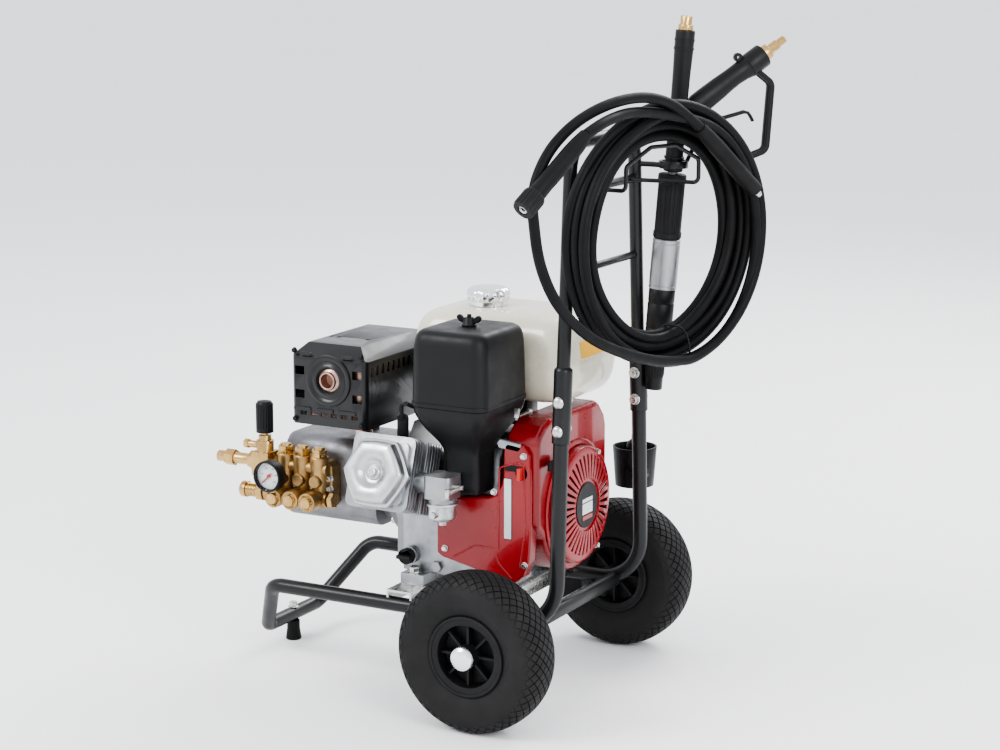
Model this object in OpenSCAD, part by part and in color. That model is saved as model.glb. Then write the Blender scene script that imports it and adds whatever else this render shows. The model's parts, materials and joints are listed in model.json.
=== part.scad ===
// Petrol pressure washer on a two-wheeled tubular trolley.
// +X runs from the pump end to the operator's end, +Z is up, the origin is
// on the ground below the middle of the machine. Lengths are in millimetres.

/* [Wheels] */
// outer diameter of the tyres
wheel_d = 260; // [250:1:266]
// width of the tyres
wheel_w = 85; // [78:1:88]
// distance between the wheel centres
track = 528; // [524:1:540]
// diameter of the axle
axle_d = 16; // [14:1:18]

/* [Trolley] */
// distance between the two side rails
rail_gap = 318; // [312:1:322]
// height of the rail centres
rail_z = 150; // [148:1:153]
// diameter of the lower tubes
tube_d = 25; // [24:1:26]
// diameter of the handle tube
handle_d = 22; // [20:1:23]
// wall thickness of the tubes
tube_wall = 2; // [1.5:0.5:3]

/* [Handle] */
// height of the handle's top bar
handle_z = 925; // [915:1:935]
// distance between the handle tubes at the top
handle_gap = 228; // [220:1:236]

/* [Hose] */
// outside diameter of the hose
hose_d = 17; // [15:0.5:18]
// radius of the coil's centre line
coil_r = 181; // [178:1:184]
// thickness of the coiled bundle
coil_t = 52; // [48:1:54]

/* [Hidden] */
$fn = 64;
axle_x = 135;
axle_z = wheel_d / 2;
upright_x = axle_x + 88;
rail_y = rail_gap / 2;
bend_r = 75;
hub_half = 30;
// handle tubes lean inwards from the top of the lower bend
lean_z = rail_z + bend_r;
top_y = handle_gap / 2;
lean = atan((rail_y - top_y) / (handle_z - lean_z));
function side_y(z) = rail_y - (z - lean_z) * tan(lean);
joint_low = 452;
joint_high = 574;

// engine
crank_y = 8;
crank_z = 315;
base_z = 175;
pto_x = -123;
face_x = 195;
cyl_tilt = 18;
cyl_x = -74;

// pump
man_y = -98;
man_z = 318;
cap_x0 = -329;
cap_step = 34;

// hose coil
coil_c = [316, 25, 768];
coil_yaw = 18;

// ---------- helpers ----------
function unit(v) = v / norm(v);
function side_axis(d) = abs(d[2]) < 0.9 ? unit(cross([0, 0, 1], d)) : unit(cross([1, 0, 0], d));

// puts the local x, y, z axes and the origin where they are asked for
module frame_at(o, x, y, z) {
    multmatrix([[x[0], y[0], z[0], o[0]], [x[1], y[1], z[1], o[1]], [x[2], y[2], z[2], o[2]], [0, 0, 0, 1]])
        children();
}

// local +Z from a towards b
module aim(a, b) {
    d = unit(b - a);
    s = side_axis(d);
    frame_at(a, s, cross(d, s), d) children();
}

module tube_profile(d, wall) {
    difference() {
        circle(d = d);
        if (wall > 0) circle(d = d - 2 * wall);
    }
}

module straight(a, b, d, wall = 0) {
    aim(a, b) linear_extrude(norm(b - a)) tube_profile(d, wall);
}

function turn_of(p, i) = acos(min(1, max(-1, unit(p[i] - p[i - 1]) * unit(p[i + 1] - p[i]))));
function run_out(p, i, r) = (i == 0 || i == len(p) - 1) ? 0 : r * tan(turn_of(p, i) / 2);

// points along straight runs joined by arcs of radius r, n steps to an arc
function rounded(p, r, n = 6) = concat([p[0]],
    [for (i = [1:len(p) - 2]) let(
        u = unit(p[i] - p[i - 1]), v = unit(p[i + 1] - p[i]),
        c = p[i] + unit(v - u) * r / cos(turn_of(p, i) / 2), e = unit(p[i] - u * run_out(p, i, r) - c))
        for (k = [0:n]) let(a = turn_of(p, i) * k / n) c + r * (cos(a) * e + sin(a) * u)],
    [p[len(p) - 1]]);

// direction of travel at point i, and a side direction carried along without twist
function heading(p, i) = unit((i > 0 ? unit(p[i] - p[i - 1]) : [0, 0, 0])
    + (i < len(p) - 1 ? unit(p[i + 1] - p[i]) : [0, 0, 0]));
function flatten(a, t) = unit(a - (a * t) * t);
function sides_of(p) = [for (i = 0, a = side_axis(heading(p, 0)); i < len(p);
    i = i + 1, a = i < len(p) ? flatten(a, heading(p, i)) : a) a];

// a faceted tube along the points p, hollow when it has a wall
module swept(p, d, wall = 0, sides = 16) {
    n = len(p);
    a = sides_of(p);
    function ring_at(i, r) = [for (k = [0:sides - 1]) p[i] + r * (a[i] * cos(360 * k / sides)
        + cross(heading(p, i), a[i]) * sin(360 * k / sides))];
    outer = [for (i = [0:n - 1]) each ring_at(i, d / 2)];
    inner = wall > 0 ? [for (i = [0:n - 1]) each ring_at(i, d / 2 - wall)] : [];
    m = n * sides;
    last = (n - 1) * sides;
    function skin(o, flip) = [for (i = [0:n - 2]) for (k = [0:sides - 1]) let(
        j = (k + 1) % sides, q = o + i * sides, w = q + sides)
        each flip ? [[q + k, q + j, w + j], [q + k, w + j, w + k]] : [[q + k, w + j, q + j], [q + k, w + k, w + j]]];
    function lid(q, flip) = wall > 0
        ? [for (k = [0:sides - 1]) let(j = (k + 1) % sides)
            each flip ? [[q + k, m + q + j, q + j], [q + k, m + q + k, m + q + j]]
                : [[q + k, q + j, m + q + j], [q + k, m + q + j, m + q + k]]]
        : [flip ? [for (k = [sides - 1:-1:0]) q + k] : [for (k = [0:sides - 1]) q + k]];
    polyhedron(concat(outer, inner), concat(skin(0, false), wall > 0 ? skin(m, true) : [],
        lid(0, false), lid(last, true)));
}

// a bent tube or rod
module bent(p, r, d, wall = 0) {
    swept(rounded(p, r), d, wall);
}

// a box given by its low and high corners
module block(a, b) {
    translate(a) cube(b - a);
}

// cylinders along the axes, from the given point
module rod_x(p, l, d) { translate(p) rotate([0, 90, 0]) cylinder(h = l, d = d); }
module rod_y(p, l, d) { translate(p) rotate([-90, 0, 0]) cylinder(h = l, d = d); }
module rod_z(p, l, d) { translate(p) cylinder(h = l, d = d); }
module hex_x(p, l, af) { translate(p) rotate([0, 90, 0]) cylinder(h = l, d = af / cos(30), $fn = 6); }
module hex_y(p, l, af) { translate(p) rotate([-90, 0, 0]) cylinder(h = l, d = af / cos(30), $fn = 6); }
module hex_z(p, l, af) { translate(p) cylinder(h = l, d = af / cos(30), $fn = 6); }

// outline with rounded corners made of arc points
function corner(c, r, a0, a1, n) = [for (i = [0:n]) c + r * [cos(a0 + (a1 - a0) * i / n), sin(a0 + (a1 - a0) * i / n)]];
function round_box(a, b, r, n = 5) = concat(
    corner([b[0] - r, b[1] - r], r, 0, 90, n), corner([a[0] + r, b[1] - r], r, 90, 180, n),
    corner([a[0] + r, a[1] + r], r, 180, 270, n), corner([b[0] - r, a[1] + r], r, 270, 360, n));

// a vertical slab with rounded vertical edges
module slab(a, b, r) {
    translate([0, 0, a[2]]) linear_extrude(b[2] - a[2]) polygon(round_box([a[0], a[1]], [b[0], b[1]], r));
}

// extrudes a y-z outline along x
module along_x(x0, x1) {
    translate([x0, 0, 0]) rotate([90, 0, 90]) linear_extrude(x1 - x0) children();
}

// extrudes an x-z outline along +y
module along_y(y0, y1) {
    translate([0, y1, 0]) rotate([90, 0, 0]) linear_extrude(y1 - y0) children();
}

// a smooth body through stacked outlines that all have the same number of points
module loft(rings) {
    m = len(rings[0]);
    polyhedron([for (r = rings) each r], concat(
        [[for (k = [m - 1:-1:0]) k]],
        [for (i = [0:len(rings) - 2]) for (k = [0:m - 1]) let(j = (k + 1) % m)
            each [[i * m + k, i * m + j, (i + 1) * m + j], [i * m + k, (i + 1) * m + j, (i + 1) * m + k]]],
        [[for (k = [0:m - 1]) (len(rings) - 1) * m + k]]));
}

// moves the machine along X so that the origin is below its middle
machine_x = 21;
module placed() { translate([machine_x, 0, 0]) children(); }

// ---------- trolley ----------
// one side of the lower frame: front leg, rail, rear bend and upright
foot_z = 47;
foot_x = -385;
leg_y = 80;
module lower_side(s) {
    a = [foot_x, s * leg_y, foot_z];
    b = [-320, s * rail_y, rail_z];
    corner_p = [upright_x, s * rail_y, rail_z];
    top = [upright_x, s * side_y(joint_low), joint_low];
    swept(concat(rounded([a + 20 * unit(b - a), b, [-200, s * rail_y, rail_z]], 34),
        rounded([[-190, s * rail_y, rail_z], corner_p, top], bend_r, 8)), tube_d, tube_wall, 20);
}

module near_side_tube() { color([0.05, 0.05, 0.055]) placed() lower_side(-1); }
module far_side_tube() { color([0.05, 0.05, 0.055]) placed() lower_side(1); }

module foot_bar() {
    rise = 20 * unit([-320 - foot_x, rail_y - leg_y, rail_z - foot_z]);
    a = [foot_x, -leg_y, foot_z];
    b = [foot_x, leg_y, foot_z];
    color([0.05, 0.05, 0.055]) placed() swept(rounded([a + [rise[0], -rise[1], rise[2]], a, b, b + rise], 24),
        tube_d, tube_wall, 20);
}

module rear_cross_tube() {
    x = axle_x + 42;
    color([0.05, 0.05, 0.055]) placed() difference() {
        rod_y([x, -rail_y, rail_z], rail_gap, tube_d);
        rod_y([x, -rail_y - 1, rail_z], rail_gap + 2, tube_d - 2 * tube_wall);
        for (s = [-1, 1]) rod_x([x - 30, s * rail_y, rail_z], 60, tube_d);
    }
}

// two folded channels across the rails that carry the engine
plate_x = [-66, 74];
module engine_plates() {
    half = 24;
    color([0.42, 0.43, 0.44]) placed() for (x = plate_x) difference() {
        block([x - half, -rail_y - 6, rail_z], [x + half, rail_y + 6, base_z]);
        block([x - half + 4, -rail_y - 20, rail_z - 1], [x + half - 4, rail_y + 20, base_z - 4]);
        for (s = [-1, 1]) rod_x([x - 40, s * rail_y, rail_z], 80, tube_d);
        for (y = base_bolt_y) rod_z([x, y, base_z - 20], 30, 11);
    }
}

module joint_sleeves() {
    color([0.05, 0.05, 0.055]) placed() for (s = [-1, 1]) {
        a = [upright_x, s * side_y(joint_low), joint_low];
        b = [upright_x, s * side_y(joint_high), joint_high];
        difference() {
            straight(a, b, 30);
            for (z = bolt_zs) rod_y([upright_x, s * side_y(z) - 30, z], 60, 8);
        }
    }
}

bolt_zs = [474, 520];
// handle bolts, engine bolts, the foot's bolt and the pump flange bolts
module frame_bolts() {
    color([0.75, 0.76, 0.78]) placed() {
        for (s = [-1, 1]) for (z = bolt_zs) union() {
            y = s * side_y(z);
            rod_y([upright_x, y - 21, z], 42, 8);
            rod_y([upright_x, s > 0 ? y + 16 : y - 20, z], 4, 17);
            hex_y([upright_x, s > 0 ? y - 22 : y + 16, z], 6, 13);
        }
        for (x = plate_x) for (y = base_bolt_y) union() {
            rod_z([x, y, base_z - 12], 34, 10);
            hex_z([x, y, base_z + 18], 8, 16);
            hex_z([x, y, base_z - 12], 8, 16);
        }
        union() {
            rod_z([-385, 0, 16], 50, 8);
            hex_z([-385, 0, 60], 6, 13);
        }
        // pump flange
        for (a = [45:90:315]) translate([0, crank_y, crank_z]) rotate([a, 0, 0]) hex_x([pto_x - 20, 0, 78], 6, 13);
    }
}

// the bent upper handle: two leaning tubes and the top bar
module handle_tube() {
    color([0.05, 0.05, 0.055]) placed() swept(rounded([
        [upright_x, -side_y(joint_high), joint_high],
        [upright_x, -top_y, handle_z],
        [upright_x, top_y, handle_z],
        [upright_x, side_y(joint_high), joint_high]], 45), handle_d, tube_wall, 20);
}

module cross_tube(z, d) {
    w = side_y(z) + 8;
    difference() {
        rod_y([upright_x, -w, z], 2 * w, d);
        for (s = [-1, 1]) straight([upright_x, s * side_y(z - 40), z - 40], [upright_x, s * side_y(z + 40), z + 40], handle_d);
        for (s = [-1, 1]) block([upright_x - 20, s > 0 ? side_y(z) : -w - 9, z - 20], [upright_x + 20, s > 0 ? w + 9 : -side_y(z), z + 20]);
    }
}

module handle_cross_bars() {
    color([0.05, 0.05, 0.055]) placed() {
        cross_tube(721, 12);
        cross_tube(848, 14);
    }
}

// bent rod that carries the coil: it follows the coil's plane, then runs back to the handle
module hose_hanger() {
    function on_coil(h, z) = coil_c + [h * sin(coil_yaw), h * cos(coil_yaw), z];
    color([0.05, 0.05, 0.055]) placed() bent([
        [upright_x + 6.5, -52, 848],
        on_coil(-85, 80), on_coil(-85, 118), on_coil(-28, 145),
        on_coil(28, 145), on_coil(85, 118), on_coil(85, 80),
        [upright_x + 6.5, 92, 848]], 9, 7);
}

// the lance stands beside the far handle tube and leans back: s runs up along it
lance_a = [253, 136, 494];
lance_b = [304, 136, 1113];
lance_u = unit(lance_b - lance_a);
function on_lance(s) = lance_a + s * lance_u;
function lance_x(z) = lance_a[0] + (z - lance_a[2]) * lance_u[0] / lance_u[2];
module lance_ring() {
    ring_zs = [560, 866];
    color([0.05, 0.05, 0.055]) placed() difference() {
        union() {
            for (z = ring_zs) translate([lance_x(z + 6), lance_a[1], z]) cylinder(h = 12, d = 48);
            block([upright_x, side_y(566) + 2, 562], [lance_x(566), side_y(566) + 10, 570]);
            block([upright_x, side_y(872) - 4, 868], [lance_x(872), side_y(872) + 6, 876]);
            // peg that the gun's stock rests on
            straight([299, 149, 870], [318, 168, 924], 7);
        }
        for (z = ring_zs) translate([lance_x(z + 6), lance_a[1], z - 6]) cylinder(h = 24, d = 39);
        straight([upright_x, side_y(joint_high), joint_high], [upright_x, side_y(880), 880], handle_d);
        straight([upright_x, side_y(500), 500], [upright_x, side_y(joint_high), joint_high], 30);
    }
}

module axle() {
    color([0.6, 0.61, 0.63]) placed() rod_y([axle_x, -track / 2 - 46, axle_z], track + 92, axle_d);
}

module axle_lugs() {
    color([0.05, 0.05, 0.055]) placed() for (s = [-1, 1]) difference() {
        block([axle_x - 22, s * rail_y - 5, axle_z - 16], [axle_x + 22, s * rail_y + 5, rail_z]);
        rod_x([axle_x - 40, s * rail_y, rail_z], 80, tube_d);
        rod_y([axle_x, s * rail_y - 9, axle_z], 18, axle_d);
    }
}

// domed caps that hold the wheels on
module hub_caps() {
    color([0.78, 0.79, 0.8]) placed() for (s = [-1, 1]) translate([axle_x, s * (track / 2 + 43), axle_z])
        rotate([s > 0 ? -90 : 90, 0, 0]) difference() {
            rotate_extrude() polygon([[0, 0], [20, 0], [20, 3], [18.5, 6], [14, 8.6], [7, 9.8], [0, 10]]);
            translate([0, 0, -1]) cylinder(h = 4, d = axle_d);
        }
}

module rubber_foot() {
    color([0.04, 0.04, 0.04]) placed() translate([-385, 0, 0]) difference() {
        rotate_extrude() polygon([[0, 0], [13, 0], [14, 2], [11.5, 20], [11.5, 34.3], [0, 34.3]]);
        translate([0, 0, 14]) cylinder(h = 30, d = 8);
    }
}

// ---------- wheels ----------
tread_depth = 3;
module tyre() {
    r = wheel_d / 2;
    w = wheel_w / 2;
    rotate([90, 0, 0]) rotate_extrude($fn = 96) polygon([
        [r - 69, -24], [r - 60, -34], [r - 45, -w + 1], [r - 28, -w], [r - 12, -w + 5], [r - 4, -w + 14],
        [r, -16], [r, 16], [r - 4, w - 14], [r - 12, w - 5], [r - 28, w], [r - 45, w - 1],
        [r - 60, 34], [r - 69, 24], [r - 69, 20], [r - 26, 26], [r - 16, 18], [r - 12, 0],
        [r - 16, -18], [r - 26, -26], [r - 69, -20]]);
}

module rim() {
    r = wheel_d / 2 - 69;
    bore = axle_d + 0.1;
    difference() {
        union() {
            rotate([90, 0, 0]) rotate_extrude($fn = 96) polygon([
                [bore / 2, -42], [19, -42], [19, -12], [48, -12], [51, -34], [r + 2, -36],
                [r + 4, -28], [r, -24], [r, 24], [r + 4, 28], [r + 2, 36], [51, 34],
                [48, 12], [19, 12], [19, 42], [bore / 2, 42]]);
            for (a = [0:45:315]) rotate([0, a, 0]) for (s = [-1, 1])
                block([18, s > 0 ? 11 : -27, -2], [49, s > 0 ? 27 : -11, 2]);
        }
    }
}

module near_tyre() { color([0.04, 0.04, 0.042]) placed() translate([axle_x, -track / 2, axle_z]) tyre(); }
module near_rim() { color([0.06, 0.06, 0.065]) placed() translate([axle_x, -track / 2, axle_z]) rim(); }
module far_tyre() { color([0.04, 0.04, 0.042]) placed() translate([axle_x, track / 2, axle_z]) tyre(); }
module far_rim() { color([0.06, 0.06, 0.065]) placed() translate([axle_x, track / 2, axle_z]) rim(); }

// ---------- detergent pickup ----------
cup_x = 190;
cup_y = 200;
module strainer_cup() {
    color([0.05, 0.05, 0.05]) placed() difference() {
        union() {
            translate([cup_x, cup_y, 308]) cylinder(h = 68, d1 = 66, d2 = 76);
            block([cup_x + 6, side_y(336), 328], [upright_x, cup_y - 10, 344]);
        }
        translate([cup_x, cup_y, 312]) cylinder(h = 70, d1 = 60, d2 = 70);
        straight([upright_x, side_y(280), 280], [upright_x, side_y(380), 380], tube_d + 0.4);
    }
}

// weighted strainer standing in the cup, with its tube led up to the sleeve
module detergent_strainer() {
    color([0.03, 0.03, 0.03]) placed() {
        translate([cup_x, cup_y, 312]) rotate_extrude()
            polygon([[0, 0], [14, 0], [16, 4], [16, 60], [13, 70], [9, 74], [6, 76], [6, 84], [0, 84]]);
        bent([[cup_x, cup_y, 396], [cup_x, cup_y, 440], [upright_x - 16, side_y(520) + 10, 516],
            [upright_x - 6, side_y(545), 545]], 24, 6);
    }
}

// ---------- engine ----------
base_bolt_y = [-112, 112];
module crankcase() {
    color([0.5, 0.51, 0.52]) placed() difference() {
        union() {
            // main case
            along_x(-96, 84) polygon([
                [-98, base_z + 18], [-88, base_z + 14], [88, base_z + 14], [102, base_z + 26], [110, 250],
                [110, 330], [96, 400], [40, 440], [-60, 440], [-92, 400], [-98, 330]]);
            // side cover on the shaft side
            along_x(pto_x, -96) polygon(concat(corner([crank_y, crank_z], 92, -30, 210, 24),
                [[-72, base_z + 24], [84, base_z + 24]]));
            // feet
            for (x = plate_x) for (s = [-1, 1])
                block([x - 22, s > 0 ? 78 : -122, base_z], [x + 22, s > 0 ? 122 : -78, base_z + 18]);
            rod_x([84, crank_y, crank_z], 10, 120);
            // filler neck and drain plug
            rod_y([-78, -112, 222], 16, 30);
            hex_y([-30, -106, 206], 10, 17);
        }
        for (x = plate_x) for (y = base_bolt_y) rod_z([x, y, base_z - 4], 40, 11);
        rod_x([pto_x - 5, crank_y, crank_z], 230, 26);
    }
}

module oil_cap() {
    color([0.06, 0.06, 0.06]) placed() union() {
        rod_y([-78, -124, 222], 12, 27);
        block([-91, -132, 219], [-65, -123, 225]);
    }
}

// the barrel and head lean from the crank towards -Y: local +Z runs up the barrel
cyl_u = [0, -cos(cyl_tilt), sin(cyl_tilt)];
module cyl_frame() {
    frame_at([cyl_x, crank_y, crank_z], [1, 0, 0], cross(cyl_u, [1, 0, 0]), cyl_u) children();
}

module barrel() {
    color([0.45, 0.46, 0.47]) placed() cyl_frame() union() {
        block([-44, -46, 122], [44, 46, 190]);
        for (i = [0:5]) block([-56, -58, 134 + i * 9], [56, 60, 137 + i * 9]);
    }
}

// the spark plug sits in a notch in the head's fins
plug_seat = [22.2, 58, 207.4];
plug_u = unit([12, 29.5, 30]);
module cylinder_head() {
    color([0.5, 0.51, 0.52]) placed() cyl_frame() {
        difference() {
            union() {
                slab([-46, -50, 190], [50, 52, 232], 10);
                for (i = [0:3]) slab([-58, -60, 196 + i * 9], [58, 62, 199 + i * 9], 12);
            }
            straight(plug_seat, plug_seat + 60 * plug_u, 20.4);
        }
        straight(plug_seat - 12 * plug_u, plug_seat, 10);
    }
}

module valve_cover() {
    c = [0, -2];
    outline = [for (a = [0:60:300]) for (k = [-2:2]) c + 61 * [cos(a + k * 9), sin(a + k * 9)]];
    inner = [for (p = outline) c + 0.84 * (p - c)];
    color([0.72, 0.73, 0.74]) placed() cyl_frame() union() {
        translate([0, 0, 232]) linear_extrude(8) polygon(outline);
        translate([0, 0, 240]) linear_extrude(12) polygon(inner);
        translate([c[0], c[1], 252]) rotate_extrude() polygon([[0, 0], [34, 0], [31, 5], [20, 7], [17, 4], [0, 4]]);
        translate([c[0], c[1], 255]) cylinder(h = 7, d = 14, $fn = 6);
    }
}

// plug boot on the head, with its lead running back to the coil in the fan housing
module plug_cap() {
    color([0.04, 0.04, 0.04]) placed() {
        cyl_frame() straight(plug_seat, plug_seat + 50 * plug_u, 19);
        bent([[-38.6, -192.5, 474], [-36, -206, 498], [-58, -150, 490], [-66, -62, 456], [-60, -22, 448],
            [shroud_x[0], -22, 448]], 8, 7);
    }
}

// exhaust box over the head
mf_a = [-280, -152, 436];
mf_b = [-134, 60, 572];
module muffler() {
    color([0.1, 0.1, 0.1]) placed() union() {
        slab([mf_a[0] + 10, mf_a[1] + 14, mf_a[2] + 10], [mf_b[0] - 10, mf_b[1] - 8, mf_b[2] - 26], 18);
        bent([[-160, -118, 452], [-160, -118, 406], [-130.2, -118, 406]], 20, 30);
        // outlet
        translate([-206, mf_a[1] - 6, 514]) rotate([-90, 0, 0]) rotate_extrude()
            polygon([[12, 0], [15, 0], [15, 5], [20.6, 7], [20.6, 20.5], [12, 20.5]]);
    }
}

module heat_shield() {
    a = mf_a;
    b = mf_b;
    top = 22;
    wall = 3;
    color([0.07, 0.07, 0.07]) placed() difference() {
        intersection() {
            slab(a, b, 10);
            along_y(a[1], b[1]) polygon([[a[0], a[2]], [b[0], a[2]], [b[0], b[2] - top], [b[0] - top, b[2]],
                [a[0] + top, b[2]], [a[0], b[2] - top]]);
            along_x(a[0], b[0]) polygon([[a[1], a[2]], [b[1], a[2]], [b[1], b[2]], [a[1] + top, b[2]],
                [a[1], b[2] - top]]);
        }
        block([a[0] + wall, a[1] + wall, a[2] - 1], [b[0] - wall, b[1] - wall, b[2] - top - wall]);
        // outlet hole and cooling openings
        rod_y([-206, a[1] - 1, 514], 8, 42);
        for (x = [-272, -160]) for (z = [480, 520]) block([x, a[1] - 1, z], [x + 18, a[1] + 6, z + 14]);
        for (i = [0:5]) block([-262 + i * 20, a[1] - 1, 452], [-250 + i * 20, a[1] + 6, 458]);
        for (i = [0:8]) block([b[0] - 6, -136 + i * 17, 524], [b[0] + 1, -127 + i * 17, 540]);
        for (x = [-252, -236, -180]) rod_z([x, -70, b[2] - 30], 40, 9);
    }
}

carb = [28, -182];
module carburettor() {
    color([0.62, 0.63, 0.64]) placed() union() {
        slab([carb[0] - 24, carb[1] - 24, 350], [carb[0] + 24, carb[1] + 24, 388], 8);
        rod_x([-16, carb[1], 370], 30, 34);
        translate([carb[0], carb[1], 342]) cylinder(h = 10, d = 46);
        // intake elbow towards the air cleaner's neck
        rod_y([carb[0] + 6, carb[1], 371], 25.3, 30);
    }
}

module float_bowl() {
    color([0.75, 0.76, 0.77]) placed() union() {
        translate([carb[0], carb[1], 312]) rotate_extrude()
            polygon([[0, 0], [17, 0], [22, 5], [23, 26], [26, 26], [26, 30], [0, 30]]);
        hex_z([carb[0], carb[1], 304], 9, 12);
        hex_y([carb[0], carb[1] - 34, 326], 16, 10);
    }
}

// air cleaner: tapered case below, deep cover on top
ac_a = [-22, -207];
ac_b = [116, -45];
ac_seam = 500;
ac_top = 624;
// funnel-shaped case that narrows to a neck at the intake
module air_cleaner_case() {
    c = (ac_a + ac_b) / 2;
    color([0.06, 0.06, 0.062]) placed() loft([
        for (s = [[352, 0.42, 0.345], [366, 0.44, 0.37], [420, 0.45, 0.385], [442, 0.56, 0.53], [474, 0.86, 0.88],
            [492, 0.97, 0.98], [ac_seam, 0.98, 0.98]])
            [for (p = round_box(ac_a - c, ac_b - c, 22)) [c[0] + p[0] * s[1], c[1] + p[1] * s[2], s[0]]]]);
}

module air_cleaner_cover() {
    c = (ac_a + ac_b) / 2;
    color([0.06, 0.06, 0.062]) placed() loft([
        for (s = [[ac_seam, 1.02], [ac_seam + 6, 1.02], [ac_seam + 7, 1], [ac_top - 22, 0.97],
            [ac_top - 8, 0.92], [ac_top, 0.82]])
            [for (p = round_box(ac_a - c, ac_b - c, 24)) [c[0] + p[0] * s[1], c[1] + p[1] * s[1], s[0]]]]);
}

wing = [47, -126, 624];
module wing_nut() {
    color([0.05, 0.05, 0.05]) placed() translate(wing) union() {
        cylinder(h = 12, d = 18);
        for (s = [-1, 1]) translate([0, 0, 7]) rotate([0, s * 58, 0]) block([-3, -3.5, 2], [3, 3.5, 20]);
    }
}

// fuel tank, held over the crankcase on the far side
tank_c = [27, 68];
tank_top = 628;
module fuel_tank() {
    half = [155, 106];
    color([0.86, 0.83, 0.74]) placed() loft([
        for (s = [[484, 0.80, 0.78], [494, 0.9, 0.88], [512, 0.97, 0.95], [548, 1, 1], [590, 0.97, 0.96],
            [612, 0.9, 0.88], [624, 0.74, 0.72], [tank_top, 0.5, 0.48]])
            [for (p = round_box(-half, half, 46, 6)) [tank_c[0] + p[0] * s[1], tank_c[1] + p[1] * s[2], s[0]]]]);
}

// two brackets between the crankcase and the tank
module tank_brackets() {
    color([0.07, 0.07, 0.07]) placed() for (x = [-70, 66]) block([x - 9, 20, 440], [x + 9, 60, 484]);
}

fuel_cap_c = [-14, 50];
module fuel_cap() {
    color([0.8, 0.81, 0.82]) placed() translate([fuel_cap_c[0], fuel_cap_c[1], tank_top]) difference() {
        union() {
            cylinder(h = 8, d = 66);
            translate([0, 0, 8]) cylinder(h = 16, d = 74);
            translate([0, 0, 24]) rotate_extrude() polygon([[0, 0], [35, 0], [32, 5], [24, 7], [0, 8]]);
        }
        for (a = [0:30:330]) rotate([0, 0, a]) translate([39.5, 0, 6]) cylinder(h = 30, d = 10);
    }
}

// red fan housing with the side duct over the barrel
shroud_x = [112, 176];
module fan_shroud() {
    outline = concat(corner([crank_y, crank_z], 112, 200, 345, 20),
        [[126, 330], [126, 430], [100, 474], [-86, 474], [-124, 450], [-124, 300]]);
    color([0.62, 0.05, 0.06]) placed() difference() {
        union() {
            along_x(shroud_x[0], shroud_x[1]) polygon(outline);
            along_y(-124, -108) polygon([[88, 230], [shroud_x[0], 214], [shroud_x[0], 440], [88, 420]]);
            along_y(-134, -112) polygon([[-12, 236], [shroud_x[0], 208], [shroud_x[0], 372], [88, 346], [-12, 336]]);
        }
        rod_x([shroud_x[0] + 4, crank_y, crank_z], 70, 186);
        rod_x([shroud_x[0] - 8, crank_y, crank_z], 30, 150);
    }
}

module recoil_cover() {
    color([0.62, 0.05, 0.06]) placed() translate([shroud_x[1], crank_y, crank_z]) rotate([90, 0, 90]) difference() {
        rotate_extrude($fn = 96) polygon([[94, 0], [98, 0], [98, 12], [94, 16], [60, 19], [30, 21], [0, 21],
            [0, 18], [28, 18], [58, 16], [92, 13], [94, 11]]);
        for (a = [0:15:345]) rotate([0, 0, a]) block([46, -2.4, -1], [82, 2.4, 40]);
    }
}

// pull handle parked on the side of the starter, with its cord stub
module starter_grip() {
    color([0.05, 0.05, 0.05]) placed() union() {
        slab([180, -112, 396], [194, -62, 410], 6);
        rod_x([176.3, -87, 403], 8, 5);
    }
}

// the whole turning crank: shaft, flywheel and its fan
module crankshaft() {
    color([0.4, 0.41, 0.42]) placed() union() {
        rod_x([pto_x - 54, crank_y, crank_z], 310, 25.4);
        rod_x([124, crank_y, crank_z], 18, 168);
        translate([0, crank_y, crank_z]) for (a = [0:30:330]) rotate([a, 0, 0]) block([141, 44, -2], [162, 78, 2]);
        rod_x([141, crank_y, crank_z], 24, 60);
    }
}

lever_p = [128, -70, 474];
module throttle_lever() {
    color([0.5, 0.51, 0.53]) placed() translate(lever_p) union() {
        rod_z([0, 0, 0.4], 10, 9);
        block([-4, -46, 5], [4, 4, 8]);
        block([-4, -46, 5], [4, -43, 20]);
    }
}

choke_p = [62, -190, 372];
module choke_lever() {
    color([0.5, 0.51, 0.53]) placed() translate(choke_p) union() {
        rod_x([-10, 0, 0], 18, 8);
        block([4, -40, -3], [7, 3, 3]);
        slab([2, -50, -7], [9, -40, 7], 3);
    }
}

switch_p = [146, -124, 392];
module engine_switch() {
    color([0.75, 0.1, 0.08]) placed() translate(switch_p) union() {
        rod_y([0, -9, 0], 9, 22);
        block([-3, -20, -10], [3, -9, 10]);
    }
}

// ---------- pump ----------
module pump_body() {
    color([0.42, 0.42, 0.43]) placed() difference() {
        union() {
            rod_x([pto_x - 14, crank_y, crank_z], 14, 176);
            rod_x([pto_x - 46, crank_y, crank_z], 33, 132);
            along_x(-350, pto_x - 46) polygon(round_box([-66, 246], [80, 392], 26));
            rod_x([-360, crank_y, crank_z], 11, 104);
            hex_z([-240, 40, 391], 14, 26);
        }
        rod_x([pto_x - 60, crank_y, crank_z], 70, 26);
    }
}

module pump_manifold() {
    color([0.72, 0.53, 0.26]) placed() union() {
        block([-352, -124, 276], [-238, -66, 362]);
        for (i = [0:2]) {
            x = cap_x0 + i * cap_step;
            rod_z([x, man_y, 361], 6, 32);
            rod_y([x, -130, 296], 7, 32);
        }
        // suction side
        rod_x([-372, -100, 294], 21, 34);
        hex_x([-384, -100, 294], 13, 32);
        rod_x([-408, -100, 294], 25, 24);
        rod_x([-418, -100, 294], 11, 28);
        // gauge boss
        rod_y([-327, -140, 338], 17, 16);
        hex_x([-239, -100, 294], 9, 24);
    }
}

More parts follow.
